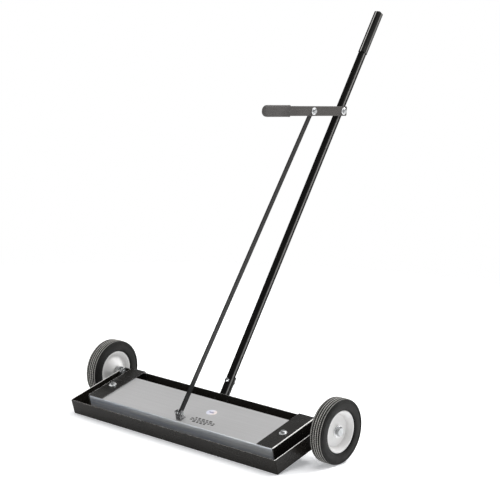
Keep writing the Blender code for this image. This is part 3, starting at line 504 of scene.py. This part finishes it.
def painted_grip_highlight(look):
    """A painted highlight: a faint band on the grip's sides and a bright line down the left of its front.

    The grip's own Y runs backwards and its own X to the right, from its middle."""
    left, right = extent("handle_grip", X_AXIS)
    away = look.magnitude(look.maths("ADD", look.place_along(X_AXIS), (right - left) / 2 - 0.0092))
    line = look.times(look.span(look.facing(-HANDLE_BACK), 0.6, 0.9),
                      look.span(away, 0.0008, 0.0019, 1.0, 0.0))
    band = look.times(side_band(look, Y_AXIS, 0.0014), 0.27)
    return look.maths("MAXIMUM", line, band)


def grey_paint():
    return paint("dark_grey_paint", (0.054, 0.0500, 0.0475), (0.068, 0.0635, 0.0600),
                 (0.22, 0.215, 0.21), 0.2, (0.48, 0.62), 0.25, Specular_IOR_Level=0.20)


def painted_shade_at_foot(look):
    """1 on the lowest stretch of the link, where shade is painted."""
    foot = extent("lift_link", Z_AXIS)[0]
    return look.span(look.place_along(Z_AXIS), foot + 0.085, foot + 0.105, 1.0, 0.0)


def link_paint():
    """The lever's grey made darker, with painted shade at its foot."""
    # The near-black second colour is painted shade at the foot.
    return paint("link_grey_with_painted_shade", (0.0085, 0.0080, 0.0076), (0.0140, 0.0132, 0.0126),
                 (0.20, 0.195, 0.19), 0.3, (0.26, 0.38), 0.3, painted_shade_at_foot, (0.0015, 0.0015, 0.0015),
                 Specular_IOR_Level=0.26)


# Grey painted in as a highlight on the grip.
PAINTED_HIGHLIGHT_GREY = (0.40, 0.395, 0.38)


def vinyl(name, dark, light, gloss, cover=None, **constants):
    """Dip-moulded vinyl: a fine pebbled skin, an optional painted highlight and slight colour drift.

    Cover is a function that gives the share of a look that takes the painted highlight."""
    look = Look(name, **constants)
    colour = look.mixed(look.span(look.noise(14, 4), 0.35, 0.65), dark, light)
    pebbles = look.cells(1300, "SMOOTH_F1")
    colour = look.mixed(look.span(pebbles, 0.5, 0.9, 0.0, 0.35), colour, dark)
    if cover is not None:
        # Painted highlight in grey where cover gives a share.
        colour = look.mixed(cover(look), colour, PAINTED_HIGHLIGHT_GREY)
    rough = look.span(look.noise(30, 3), 0.3, 0.7, gloss[0], gloss[1])
    normal = look.bumped(pebbles, 0.00008, 0.3)
    normal = look.bumped(look.noise(90, 3), 0.0004, 0.15, normal)
    return look.done(colour, rough, normal)


def black_vinyl():
    return vinyl("black_vinyl_grip", (0.0050, 0.0048, 0.0045), (0.0085, 0.0082, 0.0078),
                 (0.24, 0.34), painted_grip_highlight, Specular_IOR_Level=0.10)


def grey_vinyl():
    return vinyl("dark_grey_vinyl_grip", (0.058, 0.0545, 0.0525), (0.071, 0.067, 0.0645),
                 (0.5, 0.64), Specular_IOR_Level=0.22)


def brushed_metal(name, dark, light, gloss, along, tint=None, **constants):
    """Brushed sheet: long streaks, finer lines, a few scratches and a painted highlight on its edges.

    Tint is a function that colours part of the look."""
    look = Look(name, **constants)
    streaks = look.noise(1.0, 6, 0.7, along)
    fine = look.noise(3.1, 4, 0.6, along)
    colour = look.mixed(look.span(streaks, 0.3, 0.7), dark, light)
    colour = look.mixed(look.span(look.noise(5, 3), 0.35, 0.75, 0.0, 0.3), colour, dark)
    scratches = look.span(look.noise(38, 5, 0.75, (0.5, 1.6, 1.6)), 0.70, 0.76)
    colour = look.mixed(look.times(scratches, 0.35), colour, light)
    if tint is not None:
        colour = tint(look, colour)
    # Painted highlight: the edges turn near white.
    colour = look.mixed(look.edges(0.0016), colour, (0.97, 0.97, 0.97))
    rough = look.span(fine, 0.3, 0.7, gloss[0], gloss[1])
    normal = look.bumped(streaks, 0.00006, 0.5)
    normal = look.bumped(fine, 0.00002, 0.5, normal)
    look.feed(look.shader.inputs["Tangent"],
              look.add("ShaderNodeTangent", direction_type="RADIAL", axis="X").outputs[0])
    return look.done(colour, rough, normal)


def painted_front_reflection(look, colour):
    """Painted reflection: cold, clouded streaks that run along the cover's front face."""
    front = look.span(look.facing(-DECK_BACK), 0.5, 0.9)
    streaks = look.noise(1.0, 5, 0.65, (3.5, 95, 95))
    reflection_colour = look.mixed(look.span(streaks, 0.38, 0.62), (0.62, 0.67, 0.76), (0.95, 0.98, 1.0))
    return look.mixed(front, colour, reflection_colour)


def brushed_aluminium():
    return brushed_metal("brushed_aluminium", (0.615, 0.612, 0.614), (0.735, 0.731, 0.733),
                         (0.32, 0.44), (2.2, 900, 900), painted_front_reflection, Metallic=0.65, Anisotropic=0.7)


def stainless_steel():
    return brushed_metal("scuffed_stainless_plate", (0.50, 0.50, 0.51), (0.62, 0.62, 0.63),
                         (0.28, 0.46), (9, 420, 420), Metallic=1.0, Anisotropic=0.3)


def bare_metal(name, dull, bright, gloss, grain, **constants):
    """Plated or plain steel: crystalline mottling, handling marks and fine machining grain."""
    look = Look(name, **constants)
    crystals = look.cells(grain)
    colour = look.mixed(look.span(crystals, 0.1, 0.7), bright, dull)
    colour = look.mixed(look.span(look.noise(120, 4), 0.45, 0.75, 0.0, 0.5), colour, dull)
    rough = look.span(look.noise(300, 4), 0.3, 0.7, gloss[0], gloss[1])
    normal = look.bumped(look.noise(2600, 3), 0.00001, 0.5)
    normal = look.bumped(look.noise(420, 2), 0.00003, 0.4, normal)
    return look.done(colour, rough, normal)


def zinc_plate():
    return bare_metal("zinc_plate", (0.36, 0.37, 0.375), (0.60, 0.61, 0.615), (0.07, 0.16), 700,
                      Metallic=0.85)


def bright_zinc_plate():
    """A lighter copy of the zinc plating for the washers, painted bright as a highlight."""
    return bare_metal("bright_zinc_plate", (0.76, 0.765, 0.77), (0.92, 0.925, 0.93), (0.20, 0.32),
                      700, Metallic=0.6)


def mottled_zinc():
    """Patchy plating on the clevis, whose dark and bright patches are also painted shade and painted glints."""
    return bare_metal("mottled_zinc_plate", (0.05, 0.05, 0.052), (0.90, 0.90, 0.91), (0.10, 0.22),
                      330, Metallic=0.8)


def plain_steel():
    return bare_metal("plain_steel", (0.33, 0.32, 0.31), (0.52, 0.52, 0.52), (0.34, 0.5), 900,
                      Metallic=1.0)


def ferrite():
    """Sintered magnet: dark, dry and granular."""
    look = Look("sintered_ferrite", Specular_IOR_Level=0.3)
    grains = look.cells(1500)
    colour = look.mixed(look.span(grains, 0.1, 0.8), (0.055, 0.055, 0.058), (0.026, 0.026, 0.028))
    rough = look.span(look.noise(200, 3), 0.3, 0.7, 0.6, 0.8)
    normal = look.bumped(grains, 0.00008, 0.7)
    return look.done(colour, rough, normal)


def tyre_rubber():
    """Moulded rubber: dusty bloom, turned mould marks on the sidewalls, rib tops lighter from scuffing and from a
    painted highlight, and painted shade in the grooves and around the bead.
    """
    look = Look("tyre_rubber", Specular_IOR_Level=0.13)
    bloom = look.span(look.noise(26, 5, 0.6), 0.35, 0.7)
    colour = look.mixed(bloom, (0.0125, 0.0122, 0.0115), (0.0220, 0.0213, 0.0200))
    radius = look.radius_from_axle()
    deep = TYRE_RADIUS - GROOVE_DEPTH - 0.0006
    # Painted shade: the bottoms of the grooves turn near black.
    groove = look.times(look.span(radius, deep, deep + 0.0004),
                        look.span(radius, TYRE_RADIUS - 0.0014, TYRE_RADIUS - 0.0009, 1.0, 0.0))
    colour = look.mixed(look.times(groove, 0.95), colour, (0.003, 0.003, 0.003))
    # Rib tops lighter: partly scuffing, partly a painted highlight.
    top = look.span(radius, TYRE_RADIUS - 0.0012, TYRE_RADIUS - 0.0006)
    scuffed_and_highlit = look.times(top, look.span(look.noise(160, 5, 0.7), 0.3, 0.7, 0.55, 1.0))
    colour = look.mixed(scuffed_and_highlit, colour, (0.42, 0.41, 0.385))
    # Painted shadow: a dark ring on the sidewall next to the hub.
    seat = look.span(radius, HUB_RIM + 0.0012, HUB_RIM + 0.0030, 1.0, 0.0)
    colour = look.mixed(look.times(seat, 0.9), colour, (0.003, 0.003, 0.003))
    rough = look.span(look.noise(70, 4), 0.3, 0.7, 0.42, 0.58)
    rings = look.maths("SINE", look.times(radius, 2 * pi / 0.0011))
    normal = look.bumped(rings, 0.00003, 0.35)
    normal = look.bumped(look.noise(1100, 4), 0.00005, 0.6, normal)
    return look.done(colour, rough, normal)


def hub_white():
    """Off-white moulded plastic: faint flow marks and painted shade in a ring where the dish bends."""
    look = Look("off_white_hub", Specular_IOR_Level=0.35)
    colour = look.mixed(look.span(look.noise(32, 4, 0.6), 0.35, 0.7),
                        (0.70, 0.695, 0.685), (0.76, 0.755, 0.75))
    radius = look.radius_from_axle()
    bend = look.times(look.span(radius, HUB_RIM - 0.0182, HUB_RIM - 0.0142),
                      look.span(radius, HUB_RIM - 0.0129, HUB_RIM - 0.0087, 1.0, 0.0))
    # Painted shade on the dish's sloped wall, darker in patches.
    dust = look.times(bend, look.span(look.noise(180, 5), 0.3, 0.7, 0.15, 0.45))
    colour = look.mixed(dust, colour, (0.40, 0.385, 0.37))
    rough = look.span(look.noise(60, 4), 0.3, 0.7, 0.34, 0.5)
    normal = look.bumped(look.noise(420, 3), 0.00004, 0.4)
    normal = look.bumped(look.noise(45, 2), 0.0004, 0.12, normal)
    return look.done(colour, rough, normal)


def printed_dash():
    """Matt dark ink, worn thin in places."""
    look = Look("label_ink", Specular_IOR_Level=0.25)
    colour = look.mixed(look.span(look.noise(900, 3), 0.45, 0.75, 0.0, 0.5), (0.018, 0.018, 0.018),
                        (0.12, 0.12, 0.12))
    rough = look.span(look.noise(80, 3), 0.3, 0.7, 0.45, 0.6)
    return look.done(colour, rough, look.bumped(look.noise(900, 2), 0.00001, 0.4))


def printed_patch():
    """A plain pale oval print with a soft darker bar across it."""
    look = Look("label_patch", Specular_IOR_Level=0.3)
    parts = look.add("ShaderNodeSeparateXYZ", {0: look.spot}).outputs
    across = look.span(look.magnitude(parts[1]), 0.0012, 0.0035, 1.0, 0.0)
    along = look.span(look.magnitude(parts[0]), 0.007, 0.010, 1.0, 0.0)
    ground = look.mixed(look.span(parts[0], -0.006, 0.012), (0.58, 0.59, 0.68), (0.70, 0.62, 0.59))
    colour = look.mixed(look.times(across, along), ground, (0.16, 0.16, 0.26))
    colour = look.mixed(look.span(look.noise(300, 3), 0.5, 0.75, 0.0, 0.3), colour, (0.5, 0.5, 0.5))
    rough = look.span(look.noise(80, 3), 0.3, 0.7, 0.35, 0.5)
    return look.done(colour, rough, look.bumped(look.noise(900, 2), 0.00001, 0.4))


LOOKS = {
    "black_paint": satin_black_paint(),
    "gloss_black_paint": gloss_black_paint(),
    "grey_paint": grey_paint(),
    "black_vinyl": black_vinyl(),
    "grey_vinyl": grey_vinyl(),
    "brushed_aluminium": brushed_aluminium(),
    "stainless_steel": stainless_steel(),
    "plain_steel": plain_steel(),
    "zinc_plate": zinc_plate(),
    "ferrite": ferrite(),
    "tyre_rubber": tyre_rubber(),
    "hub_white": hub_white(),
}

WASHERS = ("strap_washer_left", "strap_washer_right", "lever_pivot_washer", "link_bolt_washer",
           "axle_outer_washer_left", "axle_outer_washer_right")
OWN_LOOKS = {"lift_link": link_paint(), "end_strap_left": strap_paint(),
             "end_strap_right": strap_paint(), "debris_tray": tray_paint(),
             "lift_clevis": mottled_zinc(), **dict.fromkeys(WASHERS, bright_zinc_plate())}


# ---------------------------------------------------------------- pieces

def new_piece(name, mesh, body, material, place=None):
    piece = bpy.data.objects.new(name, mesh)
    bpy.context.scene.collection.objects.link(piece)
    mesh.materials.clear()
    mesh.materials.append(material)
    if place is not None:
        piece.matrix_world = place
    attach(piece, body)
    return piece


def stand_in(node, mesh, place=None):
    """A fine piece that takes a CAD node's place, body and finish."""
    look = OWN_LOOKS.get(node, LOOKS[SLOT_OF[node]])
    piece = new_piece(f"{node}_fine", mesh, BODY_OF[node], look, place)
    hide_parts(node)
    return piece


def cut_short(bm, direction, limit):
    """Cuts a solid off square at a place along a direction."""
    bmesh.ops.bisect_plane(bm, geom=[*bm.verts, *bm.edges, *bm.faces], plane_co=direction * limit,
                           plane_no=direction, clear_outer=True)
    bmesh.ops.holes_fill(bm, edges=[edge for edge in bm.edges if edge.is_boundary])


def softened(node, width):
    """A copy of a CAD solid with its sharp edges rounded off by a small width."""
    bm = bmesh.new()
    bm.from_mesh(NODES[node].data)
    bmesh.ops.remove_doubles(bm, verts=bm.verts, dist=0.000004)
    bmesh.ops.dissolve_limit(bm, angle_limit=radians(1), verts=bm.verts, edges=bm.edges)
    if node == "lift_lever":
        cut_short(bm, LEVER_OUT, extent("lever_grip", LEVER_OUT)[1] - LEVER_TIP_COVER)
    sharp = [edge for edge in bm.edges if edge.is_manifold and edge.calc_face_angle() > SHARP_ANGLE]
    bmesh.ops.bevel(bm, geom=sharp, offset=width, segments=2, profile=0.5, affect="EDGES",
                    clamp_overlap=True)
    piece = stand_in(node, finished_mesh(f"{node}_fine", bm))
    piece.modifiers.new("flat faces stay flat", "WEIGHTED_NORMAL").keep_sharp = True


def build_ring(node, line, edge=0.0003):
    """Washers, spacers and bushings: a turned ring with eased edges."""
    shape = TurnedShape(node, line)
    profile = [(shape.bore, shape.low), (shape.radius, shape.low),
               (shape.radius, shape.high), (shape.bore, shape.high)]
    stand_in(node, turned_mesh(node, eased(profile, edge, True, 3), True), shape.place)


def hex_radius(angle, corner_radius):
    """Distance from the middle of a hexagon to its side, with the corners rolled slightly."""
    across_flats = corner_radius * cos(pi / 6)
    within = (angle + pi / 6) % (pi / 3) - pi / 6
    return min(across_flats / cos(pi / 6 - abs(within)), corner_radius * 0.985)


def hex_ring(corner_radius, height, chamfer_from=None, up=1):
    """Points of a hexagon; chamfer_from is the radius from which a 30 degree cone cuts it down."""
    ring = []
    for step in range(ROUND_STEPS):
        angle = 2 * pi * step / ROUND_STEPS
        radius = hex_radius(angle, corner_radius)
        drop = 0 if chamfer_from is None else max(0, radius - chamfer_from) * tan(radians(30))
        ring.append((radius * cos(angle), radius * sin(angle), height - up * drop))
    return ring


def thread_rings(radius, low, high):
    """A helical thread along the shank from high down to low, rings of points."""
    depth = THREAD_PITCH * 0.42
    count = max(2, round((high - low) / THREAD_PITCH * THREAD_RINGS_PER_PITCH))
    rings = []
    for index in range(count + 1):
        height = high + (low - high) * index / count
        ring = []
        for step in range(ROUND_STEPS):
            angle = 2 * pi * step / ROUND_STEPS
            turn = (height / THREAD_PITCH - step / ROUND_STEPS) % 1
            cut = radius - depth * abs(2 * turn - 1)
            ring.append((cut * cos(angle), cut * sin(angle), height))
        rings.append(ring)
    return rings


def build_bolt(node, line, thread_length):
    """Hex bolt: chamfered head with a shallow washer face, plain shank and a threaded end."""
    shape = TurnedShape(node, line)
    flat_radius = shape.radius * cos(pi / 6) * 0.94
    face = 0.0003
    shank = shape.tip_radius
    threaded_to = shape.low + thread_length
    rings = [[(0, 0, shape.high)], round_ring(flat_radius * 0.93, shape.high - 0.00008),
             hex_ring(shape.radius, shape.high - 0.0001, flat_radius),
             hex_ring(shape.radius, shape.head_low + face, flat_radius * 1.03, -1),
             round_ring(flat_radius, shape.head_low + face), round_ring(flat_radius, shape.head_low),
             round_ring(shank, shape.head_low), round_ring(shank, threaded_to)]
    rings += thread_rings(shank, shape.low + 0.0006, threaded_to - 0.0002)
    rings += [round_ring(shank * 0.8, shape.low), [(0, 0, shape.low)]]
    stand_in(node, loft(node, rings), shape.place)


def build_nut(node, line):
    """Hex nut, chamfered on both faces, with a countersunk bore."""
    shape = TurnedShape(node, line)
    flat_radius = shape.radius * cos(pi / 6) * 0.94
    sink = 0.0006
    rings = [round_ring(shape.bore, shape.low + sink), round_ring(shape.bore, shape.high - sink),
             round_ring(shape.bore + sink * 0.8, shape.high),
             round_ring(flat_radius * 0.97, shape.high),
             hex_ring(shape.radius, shape.high - 0.0001, flat_radius),
             hex_ring(shape.radius, shape.low + 0.0001, flat_radius, -1),
             round_ring(flat_radius * 0.97, shape.low),
             round_ring(shape.bore + sink * 0.8, shape.low)]
    stand_in(node, loft(node, rings, closed=True), shape.place)


def build_rivet(node):
    """Two domed heads on a short shank, along the deck's depth."""
    shape = TurnedShape(node, DECK_BACK)
    half = shape.high
    head = half * 0.52
    dome = [(shape.radius * sin(step * pi / 12), half - head * (1 - cos(step * pi / 12)) * 0.75)
            for step in range(7)]
    neck = shape.radius * 0.5
    rim = (shape.radius, half - head)
    profile = dome + [rim, (neck, half - head), (neck, head - half), (rim[0], -rim[1])]
    profile += [(radius, -height) for radius, height in reversed(dome)]
    stand_in(node, turned_mesh(node, profile, False, 32), shape.place)


def build_sleeve(node, place_box, corner, end_x, end_y, end_length, wall, lip):
    """A closed-end grip around local Z, its mouth at the low end with a rolled lip.

    The closed end is rounded off by end_x and end_y across it, over end_length along it."""
    half_x, half_y, half_z = place_box.half
    half_z -= 0.0001
    body_x = half_x - lip
    body_y = half_y - lip
    mouth = -half_z
    ceiling = half_z - max(2 * wall, 0.62 * end_length)
    inner = [squared_ring(body_x - wall, body_y - wall, corner * 0.6, height)
             for height in (ceiling, mouth + 0.001)]
    mouth_rings = [squared_ring(body_x - wall * 0.6, body_y - wall * 0.6, corner * 0.8, mouth),
                   squared_ring(half_x - lip * 0.4, half_y - lip * 0.4, corner, mouth),
                   squared_ring(half_x, half_y, corner + lip, mouth + lip),
                   squared_ring(half_x, half_y, corner + lip, mouth + 3 * lip),
                   squared_ring(body_x, body_y, corner, mouth + 5 * lip)]
    end = []
    for step in range(13):
        angle = step / 12 * pi / 2
        width = body_x - end_x * (1 - cos(angle))
        depth = body_y - end_y * (1 - cos(angle))
        round_more = min(corner, width - 0.0001, depth - 0.0001)
        end.append(squared_ring(width, depth, round_more, half_z - end_length * (1 - sin(angle))))
    rings = [[(0, 0, ceiling)], *inner, *mouth_rings,
             squared_ring(body_x, body_y, corner, 0), *end, [(0, 0, half_z)]]
    stand_in(node, loft(node, rings), place_box.place)


def build_handle_grip():
    box = OrientedBox("handle_grip", X_AXIS, HANDLE_BACK, HANDLE_UP)
    build_sleeve("handle_grip", box, corner=0.0042, end_x=0.0035, end_y=0.0035, end_length=0.0035,
                 wall=0.0014, lip=0.0004)


def build_lever_grip():
    box = OrientedBox("lever_grip", X_AXIS, LEVER_OUT.cross(X_AXIS), LEVER_OUT)
    build_sleeve("lever_grip", box, corner=0.0036, end_x=0.0028, end_y=0.0152, end_length=0.0200,
                 wall=0.0016, lip=0.0004)


# ---------------------------------------------------------------- wheels

def wheel_place(node, outward):
    """Middle of a wheel's piece, with its own axes along the world's, so its box stays true."""
    middle = TurnedShape(node, outward).place.translation
    return axes_matrix(Z_AXIS, outward.cross(Z_AXIS), outward, middle)


def tyre_section(radius, half_width, bead_radius, ridge_radius):
    """Half of the tyre's outline as (radius, height): from the tread's shoulder to the bead."""
    shoulder_height = half_width - TYRE_SHOULDER - SHOULDER_INSET
    top = [(radius - TYRE_SHOULDER * (1 - cos(step * pi / 12)) - TREAD_CROWN,
            shoulder_height + TYRE_SHOULDER * sin(step * pi / 12)) for step in range(7)]
    side = []
    for ring in SIDEWALL_RINGS:
        side += [(radius - ring, half_width - 0.0007), (radius - ring - 0.0003, half_width),
                 (radius - ring - 0.0009, half_width), (radius - ring - 0.0012, half_width - 0.0007)]
    side += [(radius - 0.0150, half_width - 0.0002),
             (bead_radius + 0.0070, half_width - 0.0006), (bead_radius + 0.0028, half_width - 0.0018),
             (bead_radius + 0.0016, half_width - 0.0034), (bead_radius + 0.0002, half_width - 0.0030)]
    inner = [(bead_radius, half_width * 0.62), (ridge_radius, half_width * 0.5)]
    return top + side + inner


def tread_point(height, turn, radius, half_tread):
    """Radius across the tread: crowned ribs whose edges step in and out, parted by grooves."""
    step = 1 if (turn * TREAD_TEETH) % 1 < 0.5 else -1
    drop = 0.0
    nearest = 1.0
    for index, groove in enumerate(TREAD_GROOVES):
        centre = groove + step * 0.0005 * (-1) ** index
        nearest = min(nearest, abs(height - centre))
        drop = max(drop, GROOVE_DEPTH * (1 - (abs(height - centre) / GROOVE_HALF_WIDTH) ** 3))
    crown = TREAD_CROWN * (height / half_tread) ** 4
    rounding = 0.0004 * max(0.0, 1 - (nearest - GROOVE_HALF_WIDTH) / 0.0016) if drop <= 0 else 0.0004
    return radius - crown - max(drop, 0.0) - rounding


def build_tyre(side, outward):
    """The tread's ribs and grooves are real shape, and the sidewalls are crowned."""
    node = f"wheel_{side}_tyre"
    shape = TurnedShape(node, outward)
    section = tyre_section(TYRE_RADIUS, shape.high, HUB_RIM + 0.0005, shape.bore)
    half_tread = shape.high - TYRE_SHOULDER - SHOULDER_INSET
    heights = [half_tread * (2 * index / TREAD_STEPS - 1) for index in range(1, TREAD_STEPS)]
    rings = []
    for step in range(TYRE_STEPS):
        turn = step / TYRE_STEPS
        tread = [(tread_point(height, turn, TYRE_RADIUS, half_tread), height)
                 for height in heights]
        outline = tread + section + [(r, -h) for r, h in reversed(section)]
        angle = 2 * pi * turn
        rings.append([(r * cos(angle), r * sin(angle), h) for r, h in outline])
    stand_in(node, loft(node, rings, closed=True), wheel_place(node, outward))


def build_hub(side, outward):
    """Deep dished hub with a rolled lip outside and a raised boss inside."""
    node = f"wheel_{side}_hub"
    bore = TurnedShape(node, outward).bore
    rim = HUB_RIM
    outer = [(bore, HUB_FACE), (HUB_BOSS_RADIUS, HUB_FACE), (0.0215, 0.0030), (0.0320, 0.0014),
             (rim - 0.0142, 0.0002), (rim - 0.0077, 0.0105), (rim - 0.0047, HUB_LIP - 0.0006),
             (rim - 0.0022, HUB_LIP), (rim, HUB_LIP - 0.0008)]
    floor = TYRE_SEAT_HALF_WIDTH - 0.0022
    seat = [(rim, TYRE_SEAT_HALF_WIDTH), (rim - TYRE_SEAT_DEPTH, floor),
            (rim - TYRE_SEAT_DEPTH, -floor), (rim, -TYRE_SEAT_HALF_WIDTH)]
    inner = [(rim, 0.0008 - HUB_LIP), (rim - 0.0022, -HUB_LIP), (rim - 0.0047, 0.0006 - HUB_LIP),
             (rim - 0.0107, -HUB_FACE), (0.0400, -0.0060), (HUB_BOSS_RADIUS, HUB_BOSS_END),
             (bore, HUB_BOSS_END)]
    profile = eased(outer + seat + inner, 0.0016, True, 4)
    stand_in(node, turned_mesh(node, profile, True, WHEEL_STEPS),
             wheel_place(f"wheel_{side}_tyre", outward))


def build_wheels():
    for side, outward in zip(SIDES, (-X_AXIS, X_AXIS)):
        build_tyre(side, outward)
        build_hub(side, outward)
        for node in (f"wheel_{side}_bushing", f"axle_outer_washer_{side}", f"axle_spacer_{side}"):
            build_ring(node, outward, 0.0005)
        build_nut(f"axle_lock_nut_{side}", outward)
        build_nut(f"axle_inner_nut_{side}", outward)
        build_bolt(f"axle_bolt_{side}", outward, 0.030)


# ---------------------------------------------------------------- the rest of the sweeper

def build_sheet_parts():
    for node, width in SOFT_EDGES.items():
        softened(node, width)


def build_fasteners():
    for side in SIDES:
        build_ring(f"strap_washer_{side}", DECK_UP)
        build_bolt(f"strap_bolt_{side}", DECK_UP, 0.016)
        build_rivet(f"hinge_rivet_{side}")
        build_rivet(f"bracket_rivet_{side}")
    build_bolt("clevis_screw", DECK_UP, 0.012)
    build_bolt("clevis_pin_bolt", X_AXIS, 0.010)
    build_nut("clevis_pin_nut", X_AXIS)
    build_ring("clevis_spacer", X_AXIS)
    build_bolt("handle_bolt", HANDLE_BACK, 0.014)
    build_nut("handle_bolt_nut", HANDLE_BACK)
    for node in ("lever_spacer_washer", "lever_pivot_washer", "link_bolt_washer"):
        build_ring(node, X_AXIS)
    for node in ("lever_pivot_bolt", "link_bolt"):
        build_bolt(node, X_AXIS, 0.012)
    for node in ("lever_pivot_nut", "link_bolt_nut"):
        build_nut(node, X_AXIS)


def label_dashes():
    """Rows of plain printed dashes, of varied length, as one thin mesh."""
    bm = bmesh.new()
    for row, (start, end) in enumerate(LABEL_ROWS):
        place = start
        index = 0
        while place < end:
            length = DASH_SHORTEST + DASH_VARIATION * ((index * 7 + row * 3) % 5) / 4
            ring = squared_ring(length / 2, DASH_HALF_HEIGHT, DASH_HALF_HEIGHT * 0.8, 0, 2)
            middle = Vector((place + length / 2, -ROW_PITCH * row, 0))
            low = [bm.verts.new(Vector(point) + middle) for point in ring]
            high = [bm.verts.new(Vector(point) + middle + Z_AXIS * FILM) for point in ring]
            skin_rings(bm, low, high)
            bm.faces.new(low)
            bm.faces.new(high)
            place += length + DASH_GAP
            index += 1
    return finished_mesh("label_dashes", bm)


def label_patch():
    """A thin oval."""
    half_x, half_y = PATCH_HALF_SIZES
    angles = [step * 2 * pi / ROUND_STEPS for step in range(ROUND_STEPS)]
    low, high = ([(half_x * cos(angle), half_y * sin(angle), height) for angle in angles]
                 for height in (0, FILM))
    return loft("label_patch", [[(0, 0, 0)], low, high, [(0, 0, FILM)]])


def build_label():
    """A plain printed label on top of the bar: an oval patch above rows of dashes."""
    top = extent("magnet_cover", DECK_UP)[1]
    front = extent("magnet_cover", DECK_BACK)[0]
    for name, mesh, look, (across, back) in (
            ("label_dashes", label_dashes(), printed_dash(), ROWS_PLACE),
            ("label_patch", label_patch(), printed_patch(), PATCH_PLACE)):
        spot = X_AXIS * across + DECK_BACK * (front + back) + DECK_UP * (top + LABEL_LIFT)
        new_piece(name, mesh, "magnet_bar", look, axes_matrix(X_AXIS, DECK_BACK, DECK_UP, spot))


# ---------------------------------------------------------------- studio

def build_floor():
    """A pale disc that fades out into the white surroundings."""
    mesh = turned_mesh("studio_floor", [(radius, 0) for radius in FLOOR_RADII], False, 96)
    floor = bpy.data.objects.new("studio_floor", mesh)
    bpy.context.scene.collection.objects.link(floor)
    floor.location = (0, 0, CAD_BOUNDS[0].z - 0.0002)
    look = Look("pale_floor", Specular_IOR_Level=0.1, Emission_Strength=FLOOR_FILL)
    look.feed(look.shader.inputs["Emission Color"], (0.95, 0.97, 1.0))
    colour = look.mixed(look.span(look.noise(3, 3), 0.3, 0.7), (0.90, 0.90, 0.905),
                        (0.915, 0.915, 0.92))
    material = look.done(colour, look.span(look.noise(40, 3), 0.3, 0.7, 0.75, 0.85),
                         look.bumped(look.noise(800, 2), 0.00005, 0.2))
    fade = look.span(look.radius_from_axle(), *FLOOR_FADE)
    clear = look.add("ShaderNodeBsdfTransparent").outputs[0]
    mix = look.add("ShaderNodeMixShader", {0: fade, 1: look.shader.outputs[0], 2: clear})
    look.tree.links.new(mix.outputs[0], look.tree.nodes["Material Output"].inputs["Surface"])
    mesh.materials.append(material)


def build_surroundings():
    """White all round to the camera; to the object, a white floor and a dim room above it."""
    world = bpy.data.worlds.new("studio")
    world.use_nodes = True
    bpy.context.scene.world = world
    nodes = world.node_tree.nodes
    links = world.node_tree.links
    background = nodes["Background"]
    direction = nodes.new("ShaderNodeTexCoord").outputs["Generated"]
    parts = nodes.new("ShaderNodeSeparateXYZ")
    links.new(direction, parts.inputs[0])

    def ramp(axis, low, high, to_low, to_high):
        node = nodes.new("ShaderNodeMapRange")
        links.new(parts.outputs[axis], node.inputs["Value"])
        for socket, value in (("From Min", low), ("From Max", high),
                              ("To Min", to_low), ("To Max", to_high)):
            node.inputs[socket].default_value = value
        return node

    room = ramp("Y", -0.4, 0.4, ROOM_GLOW_FRONT, ROOM_GLOW_BACK)
    level = ramp("Z", -0.03, 0.10, FLOOR_GLOW, ROOM_GLOW_BACK)
    links.new(room.outputs[0], level.inputs["To Max"])
    seen = nodes.new("ShaderNodeLightPath").outputs["Is Camera Ray"]
    strength = nodes.new("ShaderNodeMix")
    links.new(seen, strength.inputs[0])
    links.new(level.outputs[0], strength.inputs[2])
    strength.inputs[3].default_value = 1.0
    links.new(strength.outputs[0], background.inputs["Strength"])
    background.inputs["Color"].default_value = (1.0, 1.0, 1.0, 1.0)


def add_softbox(name, location, target, width, height, watts):
    light = bpy.data.lights.new(name, "AREA")
    light.shape = "RECTANGLE"
    light.size = width
    light.size_y = height
    light.energy = watts
    lamp = bpy.data.objects.new(name, light)
    bpy.context.scene.collection.objects.link(lamp)
    lamp.location = location
    aim = Vector(target) - Vector(location)
    lamp.rotation_mode = "QUATERNION"
    lamp.rotation_quaternion = aim.to_track_quat("-Z", "Y")


def build_lights():
    """Each softbox has its place, what it is aimed at, its width and height, and its watts."""
    add_softbox("overhead_softbox", (0.7, 0.3, 2.7), (0.5, 0.2, 0), 3.4, 3.2, 62)
    add_softbox("back_strip", (1.0, 2.1, 2.3), (0.1, -0.2, 0.1), 1.5, 0.36, 70)
    add_softbox("front_fill", (-0.6, -3.0, 1.3), (-0.1, -0.4, 0.1), 2.4, 1.4, 34)
    add_softbox("left_softbox", (-3.0, -0.1, 1.3), (0, 0, 0.5), 1.0, 1.4, 34)


def build_camera():
    """Long lens from the right front, slightly above, with a slight roll."""
    right = Vector((cos(CAMERA_AZIMUTH), sin(CAMERA_AZIMUTH), 0))
    back = Vector((cos(CAMERA_ELEVATION) * sin(CAMERA_AZIMUTH),
                   -cos(CAMERA_ELEVATION) * cos(CAMERA_AZIMUTH), sin(CAMERA_ELEVATION)))
    up = back.cross(right)
    rolled_right = right * cos(CAMERA_ROLL) + up * sin(CAMERA_ROLL)
    rolled_up = up * cos(CAMERA_ROLL) - right * sin(CAMERA_ROLL)
    data = bpy.data.cameras.new("camera")
    data.lens = CAMERA_LENS_MM
    data.sensor_width = CAMERA_SENSOR_MM
    camera = bpy.data.objects.new("camera", data)
    bpy.context.scene.collection.objects.link(camera)
    camera.matrix_world = axes_matrix(rolled_right, rolled_up, back,
                                      CAMERA_TARGET + back * CAMERA_DISTANCE)
    bpy.context.scene.camera = camera


build_sheet_parts()
build_fasteners()
build_wheels()
build_handle_grip()
build_lever_grip()
build_label()
build_floor()
build_surroundings()
build_lights()
build_camera()
bpy.context.scene.view_settings.view_transform = "Standard"
